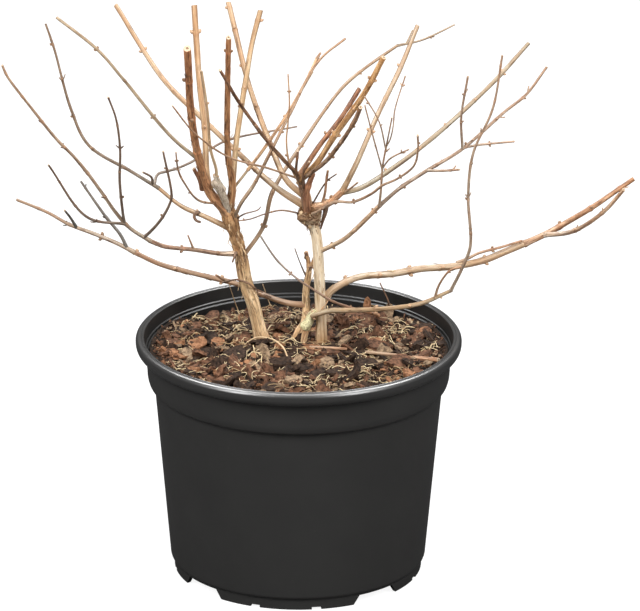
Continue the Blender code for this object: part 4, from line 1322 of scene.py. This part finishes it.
plain_material("bud_tan", (0.40, 0.23, 0.13), (0.56, 0.37, 0.23), 900, 0.7, 0.2)
plain_material("bud_brown", (0.19, 0.10, 0.055), (0.34, 0.21, 0.12), 900, 0.7, 0.2)
add_buds()

# %% Peeling bark and burl lumps
# Limb, from and to as shares of its length, how many, shortest and longest in mm, and the kind
PEELS = [
    ("stem_left", 0.42, 0.98, 44, 3.0, 8.0, "peel_gold"),
    ("stem_left", 0.46, 0.99, 34, 2.5, 6.0, "peel_dark"),
    ("stem_left", 0.60, 0.72, 34, 2.0, 4.5, "peel_dark"),
    ("stem_right", 0.84, 0.99, 84, 2.0, 5.0, "peel_dark"),
    ("stem_right", 0.84, 0.99, 26, 2.0, 4.5, "peel_gold"),
    ("stem_right", 0.04, 0.80, 16, 3.0, 8.0, "peel_gold"),
    ("stem_back", 0.10, 0.95, 16, 2.5, 6.0, "peel_gold"),
    ("bough_neck", 0.05, 0.95, 34, 2.0, 5.0, "peel_dark"),
    ("bough_shoulder", 0.10, 0.95, 12, 2.0, 4.0, "peel_gold"),
    ("cane_dark_upright", 0.06, 0.85, 26, 2.5, 7.0, "peel_dark"),
    ("cane_brown_upright", 0.04, 0.45, 26, 2.5, 6.5, "peel_gold"),
    ("bough_low_left", 0.20, 0.80, 14, 3.0, 7.0, "peel_dark"),
    ("bough_long_right", 0.04, 0.90, 24, 3.0, 8.0, "peel_gold"),
    ("bough_low_right", 0.20, 0.70, 14, 2.5, 6.0, "peel_dark"),
    ("cane_long_left", 0.04, 0.22, 10, 2.5, 5.0, "peel_gold"),
]
LUMP_COUNT = 110
LUMP_SIZES = (1.3, 3.1)
GOLD_LUMPS = 0.22


def strip_template(rng):
    """A thin strip of bark 1 long that curls away from the wood, its foot at the origin."""
    work = bmesh.new()
    bmesh.ops.create_grid(work, x_segments=5, y_segments=1, size=0.5)
    curl = rng.uniform(0.02, 0.34)
    width = rng.uniform(0.10, 0.24)
    for vert in work.verts:
        height = vert.co.x + 0.5
        vert.co = Vector((curl * height ** 2, vert.co.y * width * (1.0 - 0.6 * height ** 3), height))
    bmesh.ops.solidify(work, geom=work.faces[:], thickness=0.06)
    return template_of(work)


def lump_template(rng, subdivisions, smallest, largest):
    """A rounded lump about 1 across."""
    work = bmesh.new()
    bmesh.ops.create_icosphere(work, subdivisions=subdivisions, radius=0.5)
    return moulded(work, lambda *spot: Vector(spot) * rng.uniform(smallest, largest))


def spot_on(skin, share, out_by, rng):
    """A place on a limb's skin, the limb's heading there, and the way out."""
    ring = int(share * (len(skin.marks) - 1))
    turn = rng.uniform(0.0, 2 * math.pi)
    out = math.cos(turn) * skin.firsts[ring] + math.sin(turn) * skin.seconds[ring]
    return skin.centres[ring] + out * skin.radii[ring] * out_by, skin.directions[ring], out


def add_peels():
    """Strips that lift off the old bark, and the lumps of the burl, one joined piece for each kind."""
    rng = random.Random(89)
    strips = [strip_template(rng) for number in range(8)]
    lumps = [lump_template(rng, 2, 0.84, 1.10) for number in range(5)]
    rows = {"peel_gold": [], "peel_dark": [], "lumps_gold": [], "lumps_dark": []}
    for name, low, high, count, shortest, longest, kind in PEELS:
        for number in range(count):
            place, heading, out = spot_on(SKINS[name], rng.uniform(low, high), 0.97, rng)
            aim = heading * rng.choice((-1.0, 1.0)) + out * rng.uniform(0.02, 0.22)
            frame = basis(aim, out) * rng.uniform(shortest, longest)
            rows[kind].append((rng.randrange(len(strips)), frame, place))
    for number in range(LUMP_COUNT):
        place, heading, out = spot_on(SKINS["stem_right"], rng.uniform(0.875, 0.995), 0.90, rng)
        frame = basis(heading, out) * (np.array([1.0, 1.0, 1.3]) * rng.uniform(*LUMP_SIZES))
        kind = "lumps_gold" if rng.random() < GOLD_LUMPS else "lumps_dark"
        rows[kind].append((rng.randrange(len(lumps)), frame, place))
    for kind, found in rows.items():
        templates = strips if kind.startswith("peel") else lumps
        finished(kind, copies(templates, found), [kind], "stem_bark")


for form in ("peel", "lumps"):
    plain_material(form + "_gold", (0.36, 0.23, 0.12), (0.70, 0.51, 0.31), 700, 0.85, 0.5)
    plain_material(form + "_dark", (0.10, 0.055, 0.03), (0.30, 0.18, 0.105), 700, 0.85, 0.5)
add_peels()

# %% [markdown]
# ## The pot
#
# A nursery pot is blow-moulded: a thin wall, a rolled lip with two fine ledges inside it, a
# collar with a groove under it, and a low foot ring cut into four feet. All of it but the cuts
# is round, so a profile with softened corners is spun once round the axis.

# %% Pot sizes
LIP_RADIUS = 115.0
LIP_TOP = 173.0
LIP_BOTTOM = 163.2
MOUTH_RADIUS = 109.0
LEDGE_RADIUS = 107.2
COLLAR_RADIUS = 107.4
GROOVE_HEIGHT = 138.0
GROOVE_RADIUS = 102.4
BODY_FOOT_RADIUS = 89.8
WALL = 1.8
FOOT_HEIGHT = 7.8
FOOT_RADIUS = 87.8
FOOT_WIDTH = 3.4
FLOOR_TOP = 9.6
STEP_SLOPE = 1.3
PAD_RADIUS = 30.0
FOOT_COUNT = 4
FIRST_GAP_DEG = -140.5
GAP_DEG = 19.0
NOTCH_DEG = 4.5
NOTCH_OFFSET_DEG = 14.4
NOTCH_HEIGHT = 2.0
FOOT_SPLAY = 1.5
CUTTER_DEPTH = 12.0
CUTTER_RISE = 4.0
BODY_SLOPE = 0.17
SPIN_STEPS = 192

# Each corner is a radius, a height and how far its rounding reaches
POT_CORNERS = [
    (0.0, FLOOR_TOP, 0.0),
    (BODY_FOOT_RADIUS - WALL, FLOOR_TOP, 1.5),
    (GROOVE_RADIUS - WALL - STEP_SLOPE, GROOVE_HEIGHT - 1.0, 1.0),
    (LEDGE_RADIUS - WALL - STEP_SLOPE, GROOVE_HEIGHT + 4.5, 1.0),
    (LEDGE_RADIUS - WALL, LIP_BOTTOM - 1.6, 0.5),
    (LEDGE_RADIUS - 0.5, LIP_BOTTOM - 1.3, 0.5),
    (LEDGE_RADIUS - 0.4, LIP_BOTTOM + 0.5, 0.5),
    (LEDGE_RADIUS + 0.6, LIP_BOTTOM + 0.8, 0.5),
    (MOUTH_RADIUS, LIP_TOP - 0.3, 0.8),
    (MOUTH_RADIUS + 1.4, LIP_TOP, 0.4),
    (MOUTH_RADIUS + 1.8, LIP_TOP - 0.6, 0.3),
    (MOUTH_RADIUS + 2.2, LIP_TOP, 0.4),
    (LIP_RADIUS - 1.6, LIP_TOP - 0.4, 1.6),
    (LIP_RADIUS, LIP_TOP - 2.4, 1.6),
    (LIP_RADIUS - 0.2, LIP_BOTTOM + 3.0, 2.0),
    (LIP_RADIUS - 2.7, LIP_BOTTOM, 1.2),
    (COLLAR_RADIUS + 1.0, LIP_BOTTOM - 0.2, 0.8),
    (COLLAR_RADIUS, LIP_BOTTOM - 2.2, 1.0),
    (COLLAR_RADIUS - 0.9, GROOVE_HEIGHT + 6.0, 2.0),
    (COLLAR_RADIUS - 2.2, GROOVE_HEIGHT + 1.6, 1.5),
    (GROOVE_RADIUS, GROOVE_HEIGHT, 0.6),
    (GROOVE_RADIUS - 0.9, GROOVE_HEIGHT - 1.6, 1.0),
    (BODY_FOOT_RADIUS + 0.4, FOOT_HEIGHT + 2.0, 2.0),
    (FOOT_RADIUS, FOOT_HEIGHT - 0.2, 0.6),
    (FOOT_RADIUS - 0.2, 0.0, 0.7),
    (FOOT_RADIUS - FOOT_WIDTH, 0.0, 0.7),
    (FOOT_RADIUS - FOOT_WIDTH - 0.4, FOOT_HEIGHT, 0.8),
    (PAD_RADIUS + 2.0, FOOT_HEIGHT, 0.5),
    (PAD_RADIUS, 0.0, 0.5),
    (0.0, 0.0, 0.0),
]


# %% Pot body and feet
def softened(corners, steps=6):
    """The profile with each corner drawn as a short curve."""
    points = [np.array(corners[0][:2])]
    for before, corner, after in zip(corners, corners[1:], corners[2:]):
        here = np.array(corner[:2])
        back = np.array(before[:2]) - here
        onward = np.array(after[:2]) - here
        reach = min(corner[2], 0.45 * np.linalg.norm(back), 0.45 * np.linalg.norm(onward))
        start = here + back / np.linalg.norm(back) * reach
        stop = here + onward / np.linalg.norm(onward) * reach
        for t in np.linspace(0.0, 1.0, steps):
            points.append((1 - t) ** 2 * start + 2 * t * (1 - t) * here + t * t * stop)
    return [*points, np.array(corners[-1][:2])]


def spun(profile, steps, name):
    """A closed solid turned about Z from (radius, height) points, as a mesh."""
    work = bmesh.new()
    line = [work.verts.new((radius * MM, 0.0, height * MM)) for radius, height in profile]
    edges = [work.edges.new(pair) for pair in zip(line, line[1:])]
    bmesh.ops.spin(work, geom=[*line, *edges], cent=(0, 0, 0), axis=(0, 0, 1), dvec=(0, 0, 0),
                   angle=2 * math.pi, steps=steps, use_merge=True, use_duplicate=False)
    clean_faces(work)
    return mesh_of(work, name)


def ring_cutter(work, centre_deg, width_deg, height, splay=1.0):
    """A block that cuts the foot ring over an angle, up to a height, and is splayed at its bottom."""
    width = 2 * FOOT_RADIUS * math.tan(math.radians(width_deg / 2))
    reach = FOOT_RADIUS - FOOT_WIDTH / 2
    made = bmesh.ops.create_cube(work, size=1.0)["verts"]
    for vert in made:
        vert.co.y *= splay if vert.co.z < 0.0 else 1.0
    size = Matrix.Diagonal((CUTTER_DEPTH * MM, width * MM, (height + CUTTER_RISE) * MM, 1.0))
    place = Matrix.Translation((reach * MM, 0.0, (height - CUTTER_RISE) / 2 * MM))
    turn = Matrix.Rotation(math.radians(centre_deg), 4, "Z")
    bmesh.ops.transform(work, matrix=turn @ place @ size, verts=made)


def foot_cutters():
    """The blocks for the gaps between the feet and for the drain notches."""
    work = bmesh.new()
    for number in range(FOOT_COUNT):
        gap_deg = FIRST_GAP_DEG + number * 360.0 / FOOT_COUNT
        ring_cutter(work, gap_deg, GAP_DEG, FOOT_HEIGHT - 1.0, FOOT_SPLAY)
        foot_deg = gap_deg + 180.0 / FOOT_COUNT
        for side in (-1, 1):
            ring_cutter(work, foot_deg + side * NOTCH_OFFSET_DEG, NOTCH_DEG, NOTCH_HEIGHT)
    return mesh_of(work, "cutter")


def add_pot():
    """The spun pot, its foot ring cut into feet with drain notches."""
    body = bpy.data.objects.new("pot_uncut", spun(softened(POT_CORNERS), SPIN_STEPS, "pot_body"))
    cutter = bpy.data.objects.new("pot_cutter", foot_cutters())
    for item in (body, cutter):
        bpy.context.scene.collection.objects.link(item)
    feet = body.modifiers.new("Feet", "BOOLEAN")
    feet.operation = "DIFFERENCE"
    feet.object = cutter
    feet.solver = "EXACT"
    graph = bpy.context.evaluated_depsgraph_get()
    cut = bpy.data.meshes.new_from_object(body.evaluated_get(graph))
    for item in (body, cutter):
        bpy.data.objects.remove(item, do_unlink=True)
    smooth_all(cut)
    middles = read_rows(cut.polygons, "center")
    normals = read_rows(cut.polygons, "normal")
    height = middles[:, 2] / MM
    from_axis = np.hypot(middles[:, 0] / MM, middles[:, 1] / MM)
    on_lip = (height > LIP_BOTTOM) & (from_axis > MOUTH_RADIUS - 0.5)
    in_body = from_axis < BODY_FOOT_RADIUS + BODY_SLOPE * (height - FLOOR_TOP)
    faces_in = (normals[:, 0] * middles[:, 0] + normals[:, 1] * middles[:, 1]) < 0.0
    # Painted shade: the faces of the inside wall get a darker copy of the plastic
    inside = (height > FLOOR_TOP) & in_body & ~on_lip & faces_in
    cut.polygons.foreach_set("material_index", on_lip + 2 * inside)
    finished("pot_moulded", cut, ["pot_plastic", "lip_plastic", "inner_plastic"], "pot_plastic", ["pot"])


def pot_plastic(name, roughness, specular, shade=1.0):
    """Black plastic with a fine grain and a little dust, its colour times shade; the inside wall's low shade
    is painted shade.
    """
    tree, shader = add_material(name, roughness, specular)
    grain = grouped(tree, speckle_group, Scale=1500.0, From=0.3, To=0.7)
    dust = grouped(tree, speckle_group, Scale=420.0, From=0.70, To=0.80)
    cloud = grouped(tree, speckle_group, Scale=28.0, From=0.25, To=0.8)
    colour = mixed(tree, cloud["Mask"], (0.0235, 0.0230, 0.0225), (0.0270, 0.0265, 0.0255))
    colour = tinted(tree, 1.0, colour, (shade, shade, shade))
    dusty = maths(tree, "MULTIPLY", dust["Mask"], 0.30 * shade)
    feed(tree, shader["Base Color"], mixed(tree, dusty, colour, (0.07, 0.062, 0.055)))
    feed(tree, shader["Normal"], bump(tree, grain["Cloud"], 0.12, 0.25 * MM))


pot_plastic("pot_plastic", 0.44, 0.42)
pot_plastic("lip_plastic", 0.34, 0.95, 0.9)
# Painted shade: the inside wall is the same plastic, darkened to less than half
pot_plastic("inner_plastic", 0.42, 0.4, 0.45)
add_pot()

# %% [markdown]
# ## The potting mix
#
# The mix is a mound of composted bark: dark crumbs below, red-brown flakes on top, and pale fine
# roots that curl out between them. The bed is spun like the pot and then roughened, and its dark
# peat colour is darker still as painted shade for the gaps between the flakes. The flakes, crumbs
# and roots are copies, and seeded draws say where they lie.

# %% Bed of the mix
BED_STEPS = 120
BED_RINGS = 52
MIX_MARGIN = 1.2 * GAP
MIX_EDGE = LEDGE_RADIUS - WALL - MIX_MARGIN


def heap(places):
    """The source's rule: how far the mix is heaped up at points (x, y) in mm."""
    radius = np.hypot(places[:, 0], places[:, 1])
    outward = np.clip((radius - MIX_FLAT_RADIUS) / (98.0 - MIX_FLAT_RADIUS), 0.0, 1.0)
    sideways = np.clip((np.abs(places[:, 0]) / np.maximum(radius, 1.0) - 0.6) / 0.35, 0.0, 1.0)
    return HEAP_HEIGHT * outward ** 2 * (3 - 2 * outward) * sideways ** 2 * (3 - 2 * sideways)


def mix_height(places):
    """Height of the bed's surface under points (x, y) in mm."""
    radius = np.hypot(places[:, 0], places[:, 1])
    fall = np.clip((radius - MIX_FLAT_RADIUS) / (MIX_EDGE - MIX_FLAT_RADIUS), 0.0, 1.0)
    level = MIX_TOP - 0.5 * fall + heap(places)
    spots = np.column_stack([places, np.zeros(len(places))])
    return level + 1.5 * smooth_noise(spots / 11.0, 5) + 0.9 * smooth_noise(spots / 4.0, 6) - 0.8


def add_bed():
    """The bed: a closed solid inside the pot, its top roughened."""
    top = [(radius, MIX_TOP) for radius in np.linspace(0.0, MIX_EDGE, BED_RINGS)]
    side = [
        (GROOVE_RADIUS + 1.4, GROOVE_HEIGHT + 4.5),
        (GROOVE_RADIUS - WALL - STEP_SLOPE - MIX_MARGIN, GROOVE_HEIGHT - 1.0),
        (BODY_FOOT_RADIUS - WALL - MIX_MARGIN, FLOOR_TOP + 1.5),
        (0.0, FLOOR_TOP + MIX_MARGIN),
    ]
    mesh = spun([*top, *side], BED_STEPS, "bed")
    places = read_rows(mesh.vertices, "co") / MM
    upper = places[:, 2] > MIX_TOP - 0.5
    places[upper, 2] = mix_height(places[upper, :2])
    mesh.vertices.foreach_set("co", (places * MM).ravel())
    smooth_all(mesh)
    finished("mix_bed", mesh, ["peat"], "potting_mix", ["potting_mix"])


# The bed's colour is dark peat, made darker still as painted shade for the gaps between the flakes
plain_material("peat", (0.014, 0.009, 0.006), (0.042, 0.025, 0.016), 420, 0.95, 0.8, 0.1)
add_bed()

# %% Flakes of bark
CHIP_KINDS = {
    "chips_dark": ((0.012, 0.007, 0.005), (0.058, 0.034, 0.022)),
    "chips_red": ((0.050, 0.024, 0.014), (0.180, 0.088, 0.050)),
    "chips_rust": ((0.13, 0.056, 0.026), (0.33, 0.165, 0.085)),
    "chips_tan": ((0.11, 0.072, 0.046), (0.34, 0.235, 0.145)),
}
CHIP_SHARES = (0.42, 0.36, 0.09, 0.13)
CHIP_COUNT = 2600
LONGEST_CHIP = 21.0
CHIP_REACH = 103.0
CHIP_TEMPLATES = 10
STEEP_CHIPS = 0.36
# Flakes that stand out in the photograph: kind, x, y, lift, length, width and thickness in mm, and the
# yaw, the lean and the way it leans in degrees
SINGLE_CHIPS = [
    ("chips_rust", -45, -29, 3.4, 17, 14, 3.0, 10, 14, 250),
    ("chips_tan", 74, 11, 2.6, 16, 11, 2.6, -20, 10, 270),
    ("chips_rust", -58, 19, 2.8, 12, 10, 2.4, 60, 24, 260),
    ("chips_dark", -66, 5, 2.6, 17, 10, 2.4, 15, 16, 270),
    ("chips_red", -75, 42, 3.0, 15, 12, 2.6, 80, 20, 240),
    ("chips_dark", -40, 12, 2.8, 15, 9, 2.2, 10, 18, 270),
    ("chips_rust", 48.5, 86, 7.0, 14, 6, 2.6, 85, 68, 250),
    ("chips_tan", 64, 77, 6.0, 13, 7, 3.0, 100, 70, 290),
    ("chips_red", 49, 68, 4.0, 15, 9, 4.0, 20, 30, 270),
    ("chips_red", 58, 72, 4.0, 12, 9, 4.5, -30, 36, 240),
    ("chips_rust", -72, 15, 3.4, 15, 12, 2.8, 30, 18, 260),
    ("chips_tan", 18, -17, 3.6, 17, 9, 4.0, 30, 26, 270),
    ("chips_tan", 30, 19, 4.6, 20, 7, 3.0, 40, 34, 200),
    ("chips_red", 29, 6, 2.8, 14, 7, 2.4, 10, 12, 270),
    ("chips_dark", 14, -38, 2.8, 16, 10, 3.0, 25, 16, 260),
    ("chips_red", 30, -58, 2.8, 24, 7, 3.0, -4, 10, 270),
    ("chips_dark", -20, -60, 2.6, 14, 11, 3.0, 40, 12, 250),
    ("chips_tan", -49, 29, 3.0, 9, 5, 2.0, 40, 30, 260),
    ("chips_rust", 88, 30, 2.8, 12, 8, 2.5, 30, 20, 230),
]


def chip_template(rng):
    """A flake 1 by 1 by about 1: a ragged grid that curls, given a thickness."""
    work = bmesh.new()
    bmesh.ops.create_grid(work, x_segments=4, y_segments=3, size=0.5)
    curl = rng.uniform(-0.9, 0.9)
    twist = rng.uniform(-0.5, 0.5)
    for vert in work.verts:
        x, y = vert.co.x, vert.co.y
        corner = abs(x) * abs(y) * 4.0
        shrink = 1.0 - corner * rng.uniform(0.05, 0.45)
        if max(abs(x), abs(y)) > 0.49:
            shrink *= rng.uniform(0.82, 1.04)
        z = curl * (x * x - 0.1) + twist * x * y + rng.uniform(-0.10, 0.10)
        vert.co = Vector((x * shrink, y * shrink, z))
    bmesh.ops.solidify(work, geom=work.faces[:], thickness=0.55)
    for vert in work.verts:
        vert.co += Vector((rng.uniform(-0.03, 0.03), rng.uniform(-0.03, 0.03), rng.uniform(-0.06, 0.06)))
    return template_of(work)


def tilted(yaw, lean, lean_way, size):
    """A turn: yaw about Z, then a lean towards a direction, times a size for each axis."""
    axis = Vector((-math.sin(lean_way), math.cos(lean_way), 0.0))
    turn = Matrix.Rotation(lean, 3, axis) @ Matrix.Rotation(yaw, 3, "Z")
    return np.array(turn) * np.array(size)


def disc_spot(rng, reach):
    """A place (x, y) on a disc, by a seeded draw."""
    radius = reach * math.sqrt(rng.random())
    way = rng.uniform(0.0, 2 * math.pi)
    return radius * math.cos(way), radius * math.sin(way)


def lay_on_mix(name, material, templates, rows):
    """A joined piece of copies on the mix. A row's place is x, y and the lift over the bed."""
    places = np.array([place for pick, frame, place in rows])
    places[:, 2] += mix_height(places[:, :2])
    laid = [(pick, frame, place) for (pick, frame, lifted), place in zip(rows, places)]
    finished(name, copies(templates, laid), [material], "potting_mix")


def add_chips():
    """Flakes by seeded draws, and the single ones, one joined piece for each colour."""
    rng = random.Random(97)
    templates = [chip_template(rng) for number in range(CHIP_TEMPLATES)]
    rows = {kind: [] for kind in CHIP_KINDS}
    for number in range(CHIP_COUNT):
        length = min(LONGEST_CHIP, 3.8 * math.exp(rng.gauss(0.38, 0.60)))
        size = (length, length * rng.uniform(0.30, 0.85), length * rng.uniform(0.14, 0.34))
        spot = disc_spot(rng, CHIP_REACH - 0.45 * length)
        steep = rng.random() < STEEP_CHIPS
        lean = math.radians(rng.uniform(30.0, 80.0) if steep else rng.uniform(0.0, 28.0))
        frame = tilted(rng.uniform(0.0, 2 * math.pi), lean, rng.uniform(0.0, 2 * math.pi), size)
        place = (*spot, rng.uniform(-0.4, 1.6) + 0.12 * length)
        kind = rng.choices(list(CHIP_KINDS), CHIP_SHARES)[0]
        rows[kind].append((rng.randrange(CHIP_TEMPLATES), frame, place))
    for kind, x, y, lift, length, width, thickness, *angles in SINGLE_CHIPS:
        frame = tilted(*(math.radians(angle) for angle in angles), (length, width, thickness))
        rows[kind].append((rng.randrange(CHIP_TEMPLATES), frame, (x, y, lift)))
    for kind, (dark, light) in CHIP_KINDS.items():
        plain_material(kind, dark, light, 420, 0.9, 0.8, 0.12)
        lay_on_mix(kind, kind, templates, rows[kind])


add_chips()

# %% Crumbs
CRUMB_COUNTS = {"dark": 3200, "red": 1600, "tan": 457}
CRUMB_TEMPLATES = 5
ROUGH_TURN = 6.28


def rough_tilt(rng, most_lean, size):
    """A turn by seeded draws: any yaw, and a lean of up to so much towards any side."""
    yaw = rng.uniform(0.0, ROUGH_TURN)
    lean = rng.uniform(0.0, most_lean)
    return tilted(yaw, lean, rng.uniform(0.0, ROUGH_TURN), size)


def add_crumbs():
    """Ragged crumbs between the flakes: dark, red-brown and tan."""
    rng = random.Random(101)
    templates = [lump_template(rng, 1, 0.65, 1.15) for number in range(CRUMB_TEMPLATES)]
    for kind, count in CRUMB_COUNTS.items():
        rows = []
        for number in range(count):
            size = rng.uniform(0.9, 3.0)
            spot = disc_spot(rng, CHIP_REACH + 0.5)
            scale = (size, size * rng.uniform(0.5, 1.0), size * rng.uniform(0.4, 0.9))
            frame = rough_tilt(rng, 1.5, scale)
            rows.append((rng.randrange(CRUMB_TEMPLATES), frame, (*spot, rng.uniform(0.2, 2.2))))
        lay_on_mix("crumbs_" + kind, "chips_" + kind, templates, rows)


add_crumbs()

# %% Fine roots
ROOT_KINDS = {"roots_straw": (560, 7), "roots_tan": (280, 8)}
ROOT_TEMPLATES = 18
ROOT_STEPS = 9
ROOT_LENGTHS = (8.0, 21.0)
ROOT_CURL = 0.32
CLUSTER_CELL = 21.0


def root_route(rng, length, curliness):
    """A wandering line that stays near the surface, starting at the origin."""
    spot = np.zeros(3)
    way = rng.uniform(0.0, 2 * math.pi)
    turn = rng.uniform(-curliness, curliness)
    rise = rng.uniform(0.1, 0.8)
    points = [spot]
    step = length / ROOT_STEPS
    for number in range(ROOT_STEPS):
        turn = 0.6 * turn + rng.uniform(-curliness, curliness)
        way += turn
        rise = 0.5 * rise + rng.uniform(-0.55, 0.5) - 0.10 * points[-1][2]
        spot = spot + step * np.array([math.cos(way), math.sin(way), rise])
        points.append(spot)
    points = np.array(points)
    return smooth_route(points - [*points[:, :2].mean(axis=0), 0.0])


def root_template(rng):
    """One root in mm, four-sided, with a blunt end."""
    route = root_route(rng, rng.uniform(*ROOT_LENGTHS), ROOT_CURL)
    thick = rng.uniform(0.38, 0.80)
    mesh = rolled(skin_on(route, thick, thick * 0.55, 1.3), 4, None, BLUNT_END)
    mesh.transform(Matrix.Scale(1 / MM, 4))
    work = bmesh.new()
    work.from_mesh(mesh)
    bpy.data.meshes.remove(mesh)
    return template_of(work)


def add_roots():
    """Fine pale roots in straw and tan, laid in loose clusters."""
    rng = random.Random(113)
    templates = [root_template(rng) for number in range(ROOT_TEMPLATES)]
    for kind, (count, seed) in ROOT_KINDS.items():
        rows = []
        while len(rows) < count:
            spot = disc_spot(rng, CHIP_REACH - 6.0)
            here = smooth_noise(np.array([[*spot, 0.0]]) / CLUSTER_CELL, seed)[0]
            if here < rng.uniform(-0.35, 0.5):
                continue
            size = rng.uniform(0.65, 1.25)
            frame = rough_tilt(rng, 0.35, (size, size, size))
            rows.append((rng.randrange(ROOT_TEMPLATES), frame, (*spot, rng.uniform(1.0, 3.4))))
        lay_on_mix(kind, kind, templates, rows)


plain_material("roots_straw", (0.48, 0.34, 0.18), (0.76, 0.62, 0.38), 300, 0.75)
plain_material("roots_tan", (0.26, 0.17, 0.08), (0.48, 0.34, 0.18), 300, 0.8)
add_roots()

# %% Loose things on the mix
LOOSE = [
    Small("bark_twig", 2.2, 3.2, False, [(47.5, -1.1, 161.0), (72.7, -13.7, 163.0), (86.6, -25.9, 166.0),
        (98.1, -34.0, 168.0)]),
    Small("bark_dark", 1.2, 1.0, True, [(64.5, 78, 157), (64, 78, 167.7), (57.6, 78, 183.1)]),
    Small("straw", 1.1, 0.9, True, [(-37, 24, 158), (-30, 21, 163), (-19, 13, 165), (-11, 2, 163),
        (-7, -11, 158)]),
    Small("straw", 0.8, 0.5, True, [(-43, 86, 157), (-46, 80, 168), (-50, 70, 185)]),
    Small("straw", 0.8, 0.5, True, [(-20, 96, 157), (-23, 92, 167), (-26, 88, 178)]),
    Small("bark_twig", 2.2, 1.8, False, [(8, 14, 158.5), (20, 8, 160.5), (34, 6, 160.5)]),
]


def add_loose():
    """The stick, the arching root and the stalks that lie on the mix."""
    rng = random.Random(127)

    def lying(route, thick, thin, end):
        relief = fibrous(0.06, 0.9, 8.0, 0.08, rng.randrange(99))
        return rolled(skin_on(route, thick, thin, 1.2), 9, relief, end)

    add_by_bark("loose_", LOOSE, lambda bark: "potting_mix", lying)


STRAW = Bark((0.84, 0.68, 0.44), (0.68, 0.50, 0.30), (0.36, 0.22, 0.12), (0.50, 0.32, 0.18),
             (0.6, 0.5, 0.4), NO_TINT, NO_TINT, NO_TINT, 700, 30, 0.8, 0.3)
bark_material("straw", STRAW)
add_loose()

# %% Sizes and the end
print("pieces:", len(PIECES), "faces:", sum(len(piece.data.polygons) for piece in PIECES))
